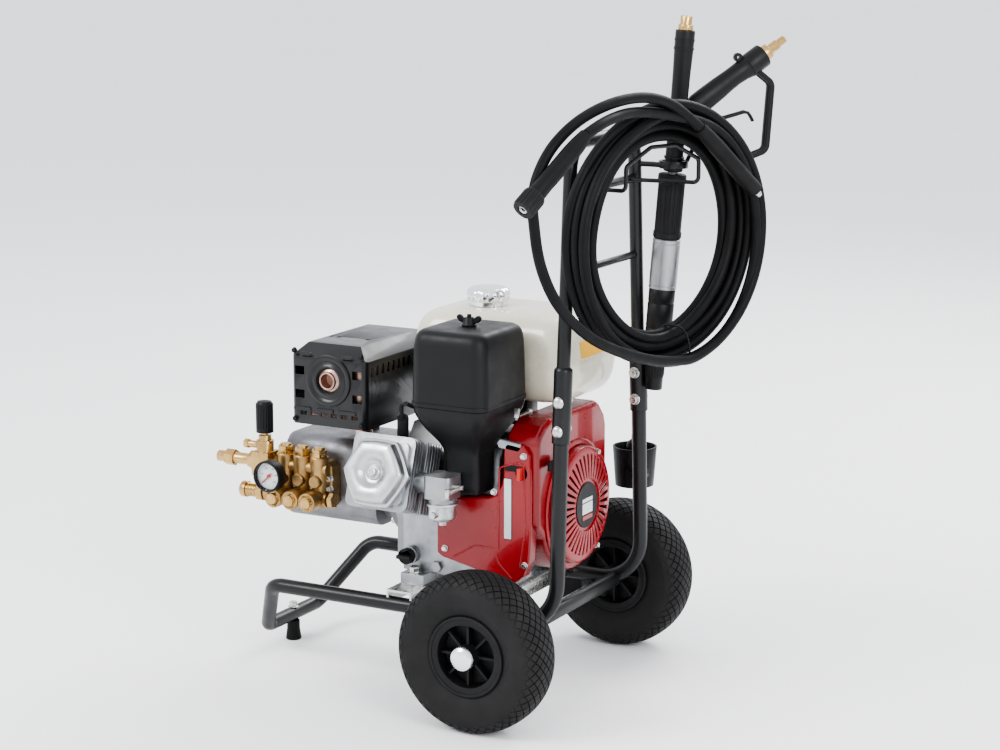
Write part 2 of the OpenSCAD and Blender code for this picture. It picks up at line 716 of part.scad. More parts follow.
module pump_caps() {
    color([0.76, 0.57, 0.28]) placed() for (i = [0:2]) {
        x = cap_x0 + i * cap_step;
        union() {
            hex_z([x, man_y, 367], 13, 25);
            rod_z([x, man_y, 379], 5, 19);
        }
        union() {
            hex_y([x, -142, 296], 12, 25);
            rod_y([x, -147, 296], 6, 19);
        }
    }
}

// pressure regulator with the outlet and bypass fittings
reg = [-369, -102];
module unloader() {
    color([0.74, 0.55, 0.27]) placed() union() {
        block([-386, -120, 326], [-352, -84, 367]);
        rod_z([reg[0], reg[1], 366], 20, 30);
        rod_z([reg[0], reg[1], 385], 10, 22);
        rod_z([reg[0], reg[1], 394], 24, 10);
        // outlet
        hex_x([-398, reg[1], 348], 13, 28);
        rod_x([-432, reg[1], 348], 35, 20);
        hex_x([-448, reg[1], 348], 18, 25);
        rod_x([-465, reg[1], 348], 18, 19);
        // bypass nipple
        rod_x([-402, reg[1], 376], 24, 12);
        hex_x([-410, reg[1], 376], 9, 14);
    }
}

module unloader_knob() {
    color([0.05, 0.05, 0.05]) placed() translate([reg[0], reg[1], 400]) difference() {
        union() {
            cylinder(h = 50, d = 30);
            translate([0, 0, 50]) rotate_extrude() polygon([[0, 0], [14, 0], [12, 4], [0, 5]]);
        }
        for (a = [0:20:340]) rotate([0, 0, a]) translate([15.7, 0, 8]) cylinder(h = 45, d = 3.4);
        translate([0, 0, -1]) cylinder(h = 22, d = 10.1);
    }
}

gauge_c = [-327, -150, 338];
module gauge() {
    color([0.06, 0.06, 0.06]) placed() translate(gauge_c) rotate([90, 0, 0]) rotate_extrude()
        polygon([[0, -10], [25, -10], [27, -8], [27, 12], [24, 14], [24, 2], [0, 2]]);
}

module gauge_needle() {
    color([0.7, 0.1, 0.1]) placed() translate(gauge_c) rotate([90, 0, 0]) union() {
        translate([0, 0, 2.4]) cylinder(h = 5, d = 6);
        rotate([0, 0, 225]) block([-6, -0.8, 4], [18, 0.8, 6]);
    }
}

// ---------- gun and lance ----------
// the gun hangs in an upright plane: local x runs towards the muzzle side
gun_o = [307, 156, 962];
module gun_frame() { translate(gun_o) rotate([0, 0, 48]) children(); }
muzzle = [164, 0, 110];
heel = [96, 0, -86];
barrel_u = unit(muzzle);
heel_u = unit(heel);

trigger_p = [24, 0, -22];
module gun_body() {
    guard_top = 128 * barrel_u + [6, 0, -12];
    color([0.05, 0.05, 0.05]) placed() gun_frame() {
        difference() {
            union() {
                straight(8 * barrel_u, 150 * barrel_u, 38);
                straight(6 * heel_u, heel, 28);
            }
            block([10, -6, -38], [60, 6, 0]);
        }
        rod_y([trigger_p[0], -8, trigger_p[2]], 16, 4);
        bent([guard_top, [140, 0, 38], [132, 0, -72], [100, 0, -82]], 14, 11);
    }
}

module gun_trigger() {
    color([0.05, 0.05, 0.05]) placed() gun_frame() translate(trigger_p) difference() {
        union() {
            rod_y([0, -5, 0], 10, 10);
            along_y(-3.5, 3.5) polygon([[0, -3.5], [68, 11], [78, 8], [84, -3], [89, -2], [83, 13], [70, 18], [0, 3.5]]);
        }
        rod_y([0, -6, 0], 12, 4.1);
    }
}

module lance() {
    color([0.05, 0.05, 0.05]) placed() union() {
        straight(on_lance(40), on_lance(380), 16);
        straight(on_lance(84), on_lance(172), 44);
        straight(on_lance(171), on_lance(256), 46);
        straight(on_lance(368), on_lance(598), 32);
    }
}

// ribbed twist collar that sets the pressure
module lance_collar() {
    color([0.05, 0.05, 0.05]) placed() difference() {
        straight(on_lance(257), on_lance(363), 44);
        straight(on_lance(250), on_lance(370), 16.1);
        aim(on_lance(268), on_lance(352)) for (a = [0:20:340]) rotate([0, 0, a]) translate([23, 0, 0])
            cylinder(h = 84, d = 4.4);
    }
}

// brass ends of the gun and the lance
module spray_fittings() {
    color([0.74, 0.55, 0.27]) placed() {
        gun_frame() union() {
            straight(150 * barrel_u, 163 * barrel_u, 26);
            straight(162 * barrel_u, 182 * barrel_u, 17);
            straight(181 * barrel_u, 197 * barrel_u, 13);
        }
        union() {
            straight(on_lance(598), on_lance(607), 24);
            straight(on_lance(606), on_lance(621), 19);
        }
    }
}

module lance_nozzle() {
    color([0.05, 0.05, 0.05]) placed() difference() {
        straight(on_lance(0), on_lance(78), 29);
        straight(on_lance(-1), on_lance(16), 18);
        straight(on_lance(40), on_lance(80), 16);
    }
}

// ---------- hose ----------
// local x runs along the coil's plane, local +y faces the machine
module coil_frame() { translate(coil_c) rotate([0, 0, 90 - coil_yaw]) children(); }

// the outer shape of the wound hose
module hose_coil() {
    h = coil_t / 2;
    color([0.03, 0.03, 0.03]) placed() coil_frame() rotate([90, 0, 0]) rotate_extrude($fn = 96)
        translate([coil_r, 0]) polygon(round_box([-h, -h], [h, h], 16, 4));
}

// a smooth curve through hand-chosen points (local x, y, z of the coil)
function ease(a, b, c, d, t) = 0.5 * (2 * b + (c - a) * t + (2 * a - 5 * b + 4 * c - d) * t * t
    + (3 * b - a - 3 * c + d) * t * t * t);
function smooth(p, n) = [for (i = [0:len(p) - 2]) for (k = [0:n - 1])
    ease(p[max(0, i - 1)], p[i], p[i + 1], p[min(len(p) - 1, i + 2)], k / n)];
function whole(p, n) = concat(smooth(p, n), [p[len(p) - 1]]);

// the loose outer turn from end B, and the short tail to end A
loop_route = [[40, -41, 175], [-20, -42, 212], [-75, -43, 228], [-131, -43, 229], [-190, -44, 219],
    [-246, -44, 198], [-295, -45, 165], [-325, -46, 125], [-334, -46, 90], [-331, -46, 55], [-318, -46, -7],
    [-280, -46, -73], [-210, -45, -131], [-132, -43, -166], [-40, -38, -192], [40, -34.8, -200]];
tail_route = [[-70, -34.8, 178], [-120, -44, 196], [-170, -58, 202], [-215, -66, 195], [-243, -67, 184]];
module hose_loop() {
    color([0.03, 0.03, 0.03]) placed() coil_frame() {
        swept(whole(loop_route, 4), hose_d, 0, 10);
        swept(whole(tail_route, 4), hose_d, 0, 10);
    }
}

// sleeves, nut and nipple on the two ends of the hose
sleeve_a = [[-243, -67, 184], [-350, -67, 101]];
sleeve_b = [[40, -41, 175], [177, -41, 64]];
module hose_ends() {
    ua = unit(sleeve_a[1] - sleeve_a[0]);
    ub = unit(sleeve_b[1] - sleeve_b[0]);
    color([0.03, 0.03, 0.03]) placed() coil_frame() {
        union() {
            straight(sleeve_a[0], sleeve_a[1], 27);
            straight(sleeve_a[1] - ua, sleeve_a[1] + 34 * ua, 36);
        }
        union() {
            straight(sleeve_b[0], sleeve_b[1], 27);
            straight(sleeve_b[1] - ub, sleeve_b[1] + 16 * ub, 16);
        }
    }
}

// ---------- parts drawn ----------
near_side_tube();
far_side_tube();
foot_bar();
rear_cross_tube();
engine_plates();
joint_sleeves();
handle_tube();
handle_cross_bars();
hose_hanger();
lance_ring();
frame_bolts();
axle();
axle_lugs();
hub_caps();
rubber_foot();
near_tyre();
near_rim();
far_tyre();
far_rim();
strainer_cup();
detergent_strainer();
crankcase();
oil_cap();
barrel();
cylinder_head();
valve_cover();
plug_cap();
muffler();
heat_shield();
carburettor();
float_bowl();
air_cleaner_case();
air_cleaner_cover();
wing_nut();
fuel_tank();
tank_brackets();
fuel_cap();
fan_shroud();
recoil_cover();
starter_grip();
crankshaft();
throttle_lever();
choke_lever();
engine_switch();
pump_body();
pump_manifold();
pump_caps();
unloader();
unloader_knob();
gauge();
gauge_needle();
gun_body();
gun_trigger();
lance();
lance_collar();
lance_nozzle();
spray_fittings();
hose_coil();
hose_loop();
hose_ends();
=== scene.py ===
import json
import math

import bmesh
import bpy
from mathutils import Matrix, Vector


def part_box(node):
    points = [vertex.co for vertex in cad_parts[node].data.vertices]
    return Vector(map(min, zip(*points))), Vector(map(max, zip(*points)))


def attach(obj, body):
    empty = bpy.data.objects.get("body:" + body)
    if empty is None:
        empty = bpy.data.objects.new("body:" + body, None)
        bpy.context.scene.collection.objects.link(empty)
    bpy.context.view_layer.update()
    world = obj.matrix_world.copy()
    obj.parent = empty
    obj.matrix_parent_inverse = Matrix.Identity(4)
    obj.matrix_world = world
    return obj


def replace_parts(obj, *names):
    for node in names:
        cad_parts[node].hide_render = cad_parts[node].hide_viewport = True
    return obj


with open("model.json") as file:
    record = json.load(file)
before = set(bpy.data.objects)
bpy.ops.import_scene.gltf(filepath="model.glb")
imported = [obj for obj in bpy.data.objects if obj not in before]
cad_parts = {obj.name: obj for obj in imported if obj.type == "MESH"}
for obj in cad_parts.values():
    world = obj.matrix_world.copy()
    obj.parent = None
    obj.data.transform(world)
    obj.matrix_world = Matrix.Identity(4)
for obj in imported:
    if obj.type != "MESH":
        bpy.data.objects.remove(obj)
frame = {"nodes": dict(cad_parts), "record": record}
NODES = frame["nodes"]
BODY_OF = {node: body for body, nodes in frame["record"]["behaviour"]["bodies"].items() for node in nodes}
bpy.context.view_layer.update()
scene = bpy.context.scene


# ---------- small helpers ----------
def collection_link(obj):
    scene.collection.objects.link(obj)
    return obj


def mesh_object(name, vertices, faces, smooth=True):
    mesh = bpy.data.meshes.new(name)
    mesh.from_pydata([tuple(v) for v in vertices], [], faces)
    mesh.validate()
    if smooth:
        mesh.polygons.foreach_set("use_smooth", [True] * len(mesh.polygons))
    return collection_link(bpy.data.objects.new(name, mesh))


# the record's slot that goes with each material's pieces, unless a piece names its own
SLOT_OF = {"moulded_black": "black_plastic", "red_enamel": "red_paint", "zinc_plate": "zinc",
    "tyre_rubber": "tyre", "powder_black": "black_paint", "heat_paint_black": "black_paint",
    "soft_rubber": "rubber", "hose_rubber": "rubber"}


def finish_piece(obj, material, body="frame", bevel=0.0, segments=2, subdivide=0, slot=None):
    if bevel:
        m = obj.modifiers.new("edge", "BEVEL")
        m.width = bevel
        m.segments = segments
        m.limit_method = "ANGLE"
        m.angle_limit = math.radians(35)
        m.harden_normals = False
    if subdivide:
        m = obj.modifiers.new("smooth", "SUBSURF")
        m.levels = m.render_levels = subdivide
    obj.data.materials.clear()
    obj.data.materials.append(material)
    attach(obj, body)
    slot = slot or SLOT_OF.get(material.name)
    return obj


def lathe(name, profile, origin, axis, steps=64, x_hint=None):
    """A turned body: profile is (radius, height) along the axis."""
    z = Vector(axis).normalized()
    x = Vector(x_hint).normalized() if x_hint else z.orthogonal().normalized()
    y = z.cross(x)
    verts, faces = [], []
    for r, h in profile:
        for k in range(steps):
            a = 2 * math.pi * k / steps
            verts.append(Vector(origin) + z * h + (x * math.cos(a) + y * math.sin(a)) * max(r, 1e-5))
    for i in range(len(profile) - 1):
        for k in range(steps):
            j = (k + 1) % steps
            faces.append((i * steps + k, i * steps + j, (i + 1) * steps + j, (i + 1) * steps + k))
    obj = mesh_object(name, verts, faces)
    sharpen(obj)
    return obj


def sharpen(obj, degrees=35):
    """Marks sharp edges so that smooth shading keeps creases."""
    bm = bmesh.new()
    bm.from_mesh(obj.data)
    bmesh.ops.remove_doubles(bm, verts=bm.verts, dist=1e-6)
    bmesh.ops.recalc_face_normals(bm, faces=bm.faces)
    for e in bm.edges:
        if len(e.link_faces) == 2 and e.calc_face_angle(0) > math.radians(degrees):
            e.smooth = False
    bm.to_mesh(obj.data)
    bm.free()


def prism(name, outline, origin, x, y, z, height):
    """An extruded outline: points (u, v) along x and y, raised along z."""
    x, y, z, o = Vector(x), Vector(y), Vector(z), Vector(origin)
    n = len(outline)
    verts = [o + x * u + y * v for u, v in outline] + [o + x * u + y * v + z * height for u, v in outline]
    faces = [tuple(range(n))[::-1], tuple(range(n, 2 * n))]
    faces += [(i, (i + 1) % n, n + (i + 1) % n, n + i) for i in range(n)]
    obj = mesh_object(name, verts, faces, smooth=False)
    sharpen(obj)
    return obj


def tube(name, points, diameter, material, body="frame", smooth_curve=True, resolution=8, cap=True,
        slot=None):
    curve = bpy.data.curves.new(name, "CURVE")
    curve.dimensions = "3D"
    curve.bevel_depth = diameter / 2
    curve.bevel_resolution = resolution
    curve.use_fill_caps = cap
    spline = curve.splines.new("NURBS" if smooth_curve else "POLY")
    spline.points.add(len(points) - 1)
    for p, v in zip(spline.points, points):
        p.co = (*v, 1)
    if smooth_curve:
        spline.order_u = 4
        spline.use_endpoint_u = True
        spline.resolution_u = 4
    obj = collection_link(bpy.data.objects.new(name, curve))
    curve.materials.append(material)
    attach(obj, body)
    slot = slot or SLOT_OF.get(material.name)
    return obj


def round_outline(width, height, radius, steps=6):
    points = []
    for cx, cy, start in ((1, 1, 0), (-1, 1, 90), (-1, -1, 180), (1, -1, 270)):
        for i in range(steps + 1):
            a = math.radians(start + 90 * i / steps)
            points.append((cx * (width / 2 - radius) + radius * math.cos(a),
                           cy * (height / 2 - radius) + radius * math.sin(a)))
    return points


def loft(name, rings, closed=True):
    n = len(rings[0])
    verts = [v for ring in rings for v in ring]
    faces = []
    for i in range(len(rings) - 1):
        for k in range(n):
            j = (k + 1) % n
            faces.append((i * n + k, i * n + j, (i + 1) * n + j, (i + 1) * n + k))
    if closed:
        faces.append(tuple(range(n))[::-1])
        faces.append(tuple(range((len(rings) - 1) * n, len(rings) * n)))
    obj = mesh_object(name, verts, faces)
    sharpen(obj, 50)
    return obj


# ---------- materials ----------
class Shader:
    """One procedural material: a principled surface with noise-driven colour, roughness and bump."""

    def __init__(self, name, base, roughness=0.5, metallic=0.0):
        self.material = bpy.data.materials.new(name)
        self.material.use_nodes = True
        self.tree = self.material.node_tree
        self.surface = self.tree.nodes["Principled BSDF"]
        self.surface.inputs["Base Color"].default_value = (*base, 1)
        self.surface.inputs["Roughness"].default_value = roughness
        self.surface.inputs["Metallic"].default_value = metallic
        self.base = base
        self.roughness = roughness
        self.place = self.node("ShaderNodeTexCoord").outputs["Object"]
        self.bump_input = None

    def node(self, kind, **values):
        n = self.tree.nodes.new(kind)
        for key, value in values.items():
            if hasattr(n, key):
                setattr(n, key, value)
            else:
                n.inputs[key].default_value = value
        return n

    def link(self, a, b):
        self.tree.links.new(a, b)

    def noise(self, scale, detail=4.0, roughness=0.55, stretch=None):
        place = self.place
        if stretch:
            m = self.node("ShaderNodeMapping")
            m.inputs["Scale"].default_value = stretch
            self.link(place, m.inputs["Vector"])
            place = m.outputs["Vector"]
        n = self.node("ShaderNodeTexNoise")
        n.inputs["Scale"].default_value = scale
        n.inputs["Detail"].default_value = detail
        n.inputs["Roughness"].default_value = roughness
        self.link(place, n.inputs["Vector"])
        return n.outputs["Fac"]

    def ramp(self, value, stops):
        r = self.node("ShaderNodeValToRGB")
        while len(r.color_ramp.elements) < len(stops):
            r.color_ramp.elements.new(0.5)
        for e, (at, colour) in zip(r.color_ramp.elements, stops):
            e.position = at
            e.color = (*colour, 1) if len(colour) == 3 else colour
        self.link(value, r.inputs["Fac"])
        return r.outputs["Color"]

    def colour(self, value, stops):
        self.link(self.ramp(value, stops), self.surface.inputs["Base Color"])
        return self

    def rough(self, value, low, high):
        m = self.node("ShaderNodeMapRange")
        m.inputs["To Min"].default_value = low
        m.inputs["To Max"].default_value = high
        m.inputs["From Min"].default_value = 0.3
        m.inputs["From Max"].default_value = 0.7
        self.link(value, m.inputs["Value"])
        self.link(m.outputs["Result"], self.surface.inputs["Roughness"])
        return self

    def bump(self, value, strength, distance=0.0005):
        b = self.node("ShaderNodeBump")
        b.inputs["Strength"].default_value = strength
        b.inputs["Distance"].default_value = distance
        self.link(value, b.inputs["Height"])
        if self.bump_input is not None:
            self.link(self.bump_input, b.inputs["Normal"])
        self.bump_input = b.outputs["Normal"]
        self.link(self.bump_input, self.surface.inputs["Normal"])
        return self

    def set(self, **values):
        for key, value in values.items():
            self.surface.inputs[key.replace("_", " ")].default_value = value
        return self


def tint(base, amount):
    return tuple(max(0.0, min(1.0, c * (1 + amount))) for c in base)


def coated(name, base, roughness, grain=900, bump=0.12, vary=0.12):
    s = Shader(name, base, roughness)
    broad = s.noise(9, 5)
    s.colour(broad, [(0.3, tint(base, -vary)), (0.7, tint(base, vary))])
    s.rough(s.noise(30, 6), roughness - 0.06, roughness + 0.08)
    s.bump(s.noise(grain, 2), bump, 0.0003)
    return s


powder = coated("powder_black", (0.007, 0.007, 0.0075), 0.36, 1200, 0.16).set(Coat_Weight=0.12,
    Specular_IOR_Level=0.3).material
red = coated("red_enamel", (0.23, 0.003, 0.006), 0.3, 300, 0.03, 0.08).set(Coat_Weight=0.4,
    Specular_IOR_Level=0.35).material
cream = coated("tank_cream", (0.66, 0.62, 0.50), 0.28, 250, 0.03, 0.03).set(Coat_Weight=0.5).material
plastic = coated("moulded_black", (0.007, 0.007, 0.0075), 0.42, 1500, 0.3,
    0.15).set(Specular_IOR_Level=0.24).material
plastic_soft = coated("grip_black", (0.008, 0.008, 0.0085), 0.55, 900, 0.35,
    0.15).set(Specular_IOR_Level=0.22).material
shield_black = coated("heat_paint_black", (0.007, 0.007, 0.0078), 0.32, 700, 0.22,
    0.2).set(Coat_Weight=0.15, Specular_IOR_Level=0.35).material
red_plastic = coated("red_knob", (0.45, 0.02, 0.015), 0.35, 700, 0.1).material
amber = coated("amber_label", (0.75, 0.42, 0.05), 0.35, 800, 0.05).material
white_print = coated("white_print", (0.75, 0.75, 0.74), 0.4, 800, 0.05).material
silver_label = coated("silver_label", (0.55, 0.56, 0.57), 0.38, 500, 0.1).material


def metal(name, base, roughness, scale=40, bump=0.1, vary=0.12, stretch=None, grain=700):
    s = Shader(name, base, roughness, 1.0)
    s.colour(s.noise(scale, 6, 0.6, stretch), [(0.28, tint(base, -vary)), (0.72, tint(base, vary))])
    s.rough(s.noise(scale * 2.4, 5, 0.6, stretch), roughness - 0.08, roughness + 0.12)
    s.bump(s.noise(grain, 3, 0.6, stretch), bump, 0.0003)
    return s


cast = metal("cast_alloy", (0.36, 0.37, 0.38), 0.42, 25, 0.5, 0.14, None, 900).material
cast_dark = metal("cast_pump", (0.22, 0.22, 0.23), 0.45, 25, 0.5, 0.2, None, 800).material
bright = metal("valve_cover_alloy", (0.52, 0.53, 0.54), 0.34, 20, 0.35, 0.1, None, 1100).material
steel = metal("machined_steel", (0.45, 0.46, 0.47), 0.3, 30, 0.15).material
zinc = metal("zinc_plate", (0.55, 0.55, 0.53), 0.28, 60, 0.12, 0.1).material
chrome = metal("chrome_plate", (0.82, 0.83, 0.85), 0.2, 12, 0.02, 0.04).material
dull_steel = metal("dull_steel", (0.34, 0.34, 0.35), 0.42, 60, 0.2, 0.15, (1, 1, 0.2)).material
brass = metal("brass", (0.50, 0.33, 0.14), 0.27, 70, 0.12, 0.2).material
brass_cast = metal("brass_forged", (0.40, 0.26, 0.115), 0.42, 60, 0.5, 0.24, None, 1300).material
heated = metal("heat_tinted_steel", (0.40, 0.27, 0.22), 0.35, 50, 0.2, 0.3).material
black_metal = metal("black_oxide", (0.03, 0.03, 0.032), 0.4, 60, 0.1, 0.2).material


def rubber_like(name, base, roughness, pattern_scale, strength, specular=0.4):
    s = Shader(name, base, roughness)
    s.colour(s.noise(14, 6), [(0.3, tint(base, -0.2)), (0.7, tint(base, 0.35))])
    s.rough(s.noise(40, 5), roughness - 0.06, roughness + 0.1)
    s.bump(s.noise(pattern_scale, 3), strength, 0.0003)
    return s.set(Specular_IOR_Level=specular)


clear_tube = coated("clear_pvc", (0.42, 0.30, 0.28), 0.2, 300, 0.05).set(Transmission_Weight=0.35).material
hose_rubber = rubber_like("hose_rubber", (0.005, 0.005, 0.0053), 0.5, 1400, 0.35, 0.16).material
tyre_rubber = rubber_like("tyre_rubber", (0.010, 0.0097, 0.0097), 0.62, 600, 0.3, 0.25).material
soft_rubber = rubber_like("soft_rubber", (0.006, 0.006, 0.006), 0.55, 900, 0.25, 0.18).material

glass = Shader("gauge_glass", (0.9, 0.92, 0.93), 0.03).set(Transmission_Weight=1.0, IOR=1.2,
    Alpha=0.25).material

PAINT = {
    "black_paint": powder, "zinc": zinc, "chrome": chrome, "rubber": soft_rubber, "tyre": tyre_rubber,
    "black_plastic": plastic, "cast_alloy": cast, "exhaust_steel": heated, "tank_cream": cream,
    "red_paint": red, "red_plastic": red_plastic, "steel": steel, "brass": brass,
}
SPECIAL = {
    "heat_shield": shield_black, "valve_cover": bright, "pump_body": cast_dark, "pump_manifold": brass_cast,
    "float_bowl": bright, "muffler": heated, "crankshaft": black_metal, "engine_plates": zinc,
    "lance_collar": plastic_soft, "gun_body": plastic, "throttle_lever": zinc, "tank_brackets": shield_black,
}
for part in frame["record"]["subparts"]:
    node = NODES[part["node"]]
    chosen = SPECIAL.get(part["node"], PAINT[part["material_slot"]])
    if not node.material_slots:
        node.data.materials.append(chosen)
    for material_slot in node.material_slots:
        material_slot.material = chosen


# ---------- camera ----------
scene.view_settings.look = "AgX - Medium High Contrast"
camera = bpy.data.cameras.new("camera")
camera.sensor_width = 36
camera.lens = 86.5
camera.clip_end = 60
camera_object = collection_link(bpy.data.objects.new("camera", camera))
camera_object.location = (1.928, -3.448, 1.304)
camera_object.rotation_euler = (math.radians(90 - 11.3), 0, math.radians(28.5))
scene.camera = camera_object


# ---------- hose ----------
HOSE_D = 0.017
COIL_R = 0.181
COIL_C = (Vector(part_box("hose_coil")[0]) + Vector(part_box("hose_coil")[1])) / 2
COIL_YAW = math.radians(18)
COIL_X = Vector((math.sin(COIL_YAW), math.cos(COIL_YAW), 0))
COIL_Y = Vector((-math.cos(COIL_YAW), math.sin(COIL_YAW), 0))


def on_coil(x, y, z):
    """A point given in the coil's own directions, in metres."""
    return COIL_C + COIL_X * x + COIL_Y * y + Vector((0, 0, z))


LOOP = [(40, -41, 175), (-20, -42, 212), (-75, -43, 228), (-131, -43, 229), (-190, -44, 219),
    (-246, -44, 198), (-295, -45, 165), (-325, -46, 125), (-334, -46, 90), (-331, -46, 55),
    (-318, -46, -7), (-280, -46, -73), (-210, -45, -131), (-132, -43, -166), (-40, -38, -192),
    (40, -34.8, -200)]
TAIL = [(20, -34.8, 190), (-30, -35.5, 199), (-80, -39, 206), (-130, -46, 208), (-180, -58, 203),
    (-215, -65, 195), (-243, -67, 184)]


def catmull(points, n):
    out = []
    for i in range(len(points) - 1):
        a, b = points[max(0, i - 1)], points[i]
        c, d = points[i + 1], points[min(len(points) - 1, i + 2)]
        for k in range(n):
            t = k / n
            out.append(0.5 * (2 * b + (c - a) * t + (2 * a - 5 * b + 4 * c - d) * t * t
                              + (3 * b - a - 3 * c + d) * t ** 3))
    return out + [points[-1]]


def ease(t):
    t = max(0.0, min(1.0, t))
    return t * t * (3 - 2 * t)


def coil_points(start, end, turns, per_turn=24):
    """Turns laid side by side: each one takes the next place in the bundle's section."""
    places = [(-34.8, 24), (17, 18), (17, 0), (17, -17), (0, -17), (0, 0), (0, 18), (-18, 17), (-34.8, 10)]
    total = math.radians(end - start) + 2 * math.pi * turns
    count = int(per_turn * total / (2 * math.pi))
    points = []
    for i in range(1, count):
        f = i / count
        s = f * (len(places) - 1)
        k = min(len(places) - 2, int(s))
        t = ease((s - k - 0.35) / 0.45)
        y = places[k][0] * (1 - t) + places[k + 1][0] * t
        r = places[k][1] * (1 - t) + places[k + 1][1] * t
        bulge = 16 * math.sin(math.pi * t) if k in (0, 7) else 0
        a = math.radians(start) + total * f
        wave = (2.2 * math.sin(2.3 * a + 1.1 * k) + 1.3 * math.sin(5 * a + k)) * min(1, 14 * f, 14 * (1 - f))
        radius = (COIL_R * 1000 + r + bulge + wave) / 1000
        points.append(on_coil(radius * math.cos(a), (y + 1.2 * math.sin(3 * a + k)) / 1000,
            radius * math.sin(a)))
    return points


def route():
    loop = catmull([on_coil(*(Vector(p) / 1000)) for p in LOOP], 3)
    tail = catmull([on_coil(*(Vector(p) / 1000)) for p in TAIL], 3)
    start = math.degrees(math.atan2(LOOP[-1][2], LOOP[-1][0]))
    end = math.degrees(math.atan2(TAIL[0][2], TAIL[0][0]))
    return loop + coil_points(start, end, 7) + tail


hose_route = route()
hose = tube("hose", hose_route, HOSE_D, hose_rubber)
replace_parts(hose, "hose_coil", "hose_loop", "hose_ends")


# sleeves on the two ends, with ribs and fittings
def sleeve(name, start, end, radius, ribs, taper=0.75):
    axis = (end - start)
    length = axis.length
    profile = [(HOSE_D / 2 + 0.0002, 0.0), (radius * taper, 0.0006), (radius * 0.93, length * 0.16)]
    for i in range(ribs):
        h = length * (0.2 + 0.72 * i / ribs)
        step = length * 0.72 / ribs
        profile += [(radius, h + step * 0.15), (radius, h + step * 0.7), (radius * 0.965, h + step * 0.85)]
    profile += [(radius, length * 0.95), (radius * 0.96, length - 0.0008), (radius * 0.8, length)]
    return finish_piece(lathe(name, profile, start, axis, 40), soft_rubber)


def mm(point):
    return on_coil(*(Vector(point) / 1000))


a0, a1 = mm((-243, -67, 184)), mm((-350, -67, 101))
b0, b1 = mm((40, -41, 175)), mm((177, -41, 64))
sleeve_a = sleeve("sleeve_a", a0, a1, 0.0137, 1)
sleeve_b = sleeve("sleeve_b", b0, b1, 0.0137, 1)
ua = (a1 - a0).normalized()
ub = (b1 - b0).normalized()


def knurled(name, start, axis, length, radius, teeth, depth, bore, material, slot="rubber"):
    """A ribbed nut: a ring whose outside is cut by even grooves."""
    steps = teeth * 4
    z = Vector(axis).normalized()
    x = z.orthogonal().normalized()
    y = z.cross(x)
    rings = [(bore, 0.0, 0), (radius * 0.9, 0.0, 0), (radius, length * 0.12, 1), (radius, length * 0.88, 1),
             (radius * 0.9, length, 0), (bore, length, 0), (bore, length * 0.1, 0)]
    verts, faces = [], []
    for r, h, cut in rings:
        for k in range(steps):
            a = 2 * math.pi * k / steps
            rr = r - (depth if cut and k % 4 in (2, 3) else 0)
            verts.append(Vector(start) + z * h + (x * math.cos(a) + y * math.sin(a)) * rr)
    for i in range(len(rings) - 1):
        for k in range(steps):
            j = (k + 1) % steps
            faces.append((i * steps + k, i * steps + j, (i + 1) * steps + j, (i + 1) * steps + k))
    obj = mesh_object(name, verts, faces)
    sharpen(obj, 30)
    return finish_piece(obj, material, slot=slot)


nut_a = knurled("hose_nut", a1 - ua * 0.002, ua, 0.034, 0.018, 22, 0.0014, 0.0085, plastic)
ring_a = finish_piece(lathe("hose_nut_insert", [(0.0035, 0), (0.0035, 0.030), (0.0062, 0.0315),
    (0.0085, 0.030), (0.0085, 0.0)], a1, ua, 32), zinc)
nipple = finish_piece(lathe("hose_nipple", [(0.0, 0.0), (0.008, 0.0), (0.008, 0.006), (0.0062, 0.007),
    (0.0062, 0.013), (0.0052, 0.0155), (0.0025, 0.0155), (0.0025, 0.004)], b1 - ub * 0.001, ub, 32), zinc)

# ---------- shapes shared with the model ----------
MACHINE_X = 0.021


def at(x, y, z):
    """A point in the machine's own millimetres, moved to the shared frame."""
    return Vector((x / 1000 + MACHINE_X, y / 1000, z / 1000))


RAIL_Y, RAIL_Z, UPRIGHT_X, LEAN_Z, TOP_Y, HANDLE_Z = 159, 150, 223, 225, 114, 925


def side_y(z):
    return RAIL_Y - (z - LEAN_Z) * (RAIL_Y - TOP_Y) / (HANDLE_Z - LEAN_Z)


def rounded(points, radius, steps=8):
    """Straight runs joined by arcs."""
    out = [points[0]]
    for a, b, c in zip(points, points[1:], points[2:]):
        u, v = (b - a).normalized(), (c - b).normalized()
        turn = u.angle(v)
        centre = b + (v - u).normalized() * radius / math.cos(turn / 2)
        e = (b - u * radius * math.tan(turn / 2) - centre).normalized()
        for k in range(steps + 1):
            t = turn * k / steps
            out.append(centre + (e * math.cos(t) + u * math.sin(t)) * radius)
    return out + [points[-1]]


def bolt(name, place, axis, across, body="frame", material=None, washer=True, socket=False):
    """A flanged hexagon or socket-head bolt seen from outside."""
    r = across / 2000 / math.cos(math.radians(30))
    h = across / 1000 * 0.6
    base = 0.0
    z = Vector(axis).normalized()
    if washer:
        ring = lathe(name + "_washer", [(0.0, 0), (r * 1.25, 0), (r * 1.25, h * 0.16), (r * 1.15, h * 0.24),
                                        (0.0, h * 0.24)], place, axis, 32)
        finish_piece(ring, material or zinc, body, slot="zinc")
        base = h * 0.22
    if socket:
        profile = [(0.0, 0), (r * 0.9, 0), (r * 0.9, h * 1.1), (r * 0.8, h * 1.2), (r * 0.48, h * 1.2),
                   (r * 0.48, h * 0.6), (0.0, h * 0.6)]
        head = lathe(name, profile, Vector(place) + z * base, axis, 24)
    else:
        profile = [(0.0, 0), (r, 0), (r, h * 0.85), (r * 0.86, h), (0.0, h * 0.93)]
        head = lathe(name, profile, Vector(place) + z * base, axis, 6)
    return finish_piece(head, material or zinc, body, bevel=across * 0.00002, slot="zinc")


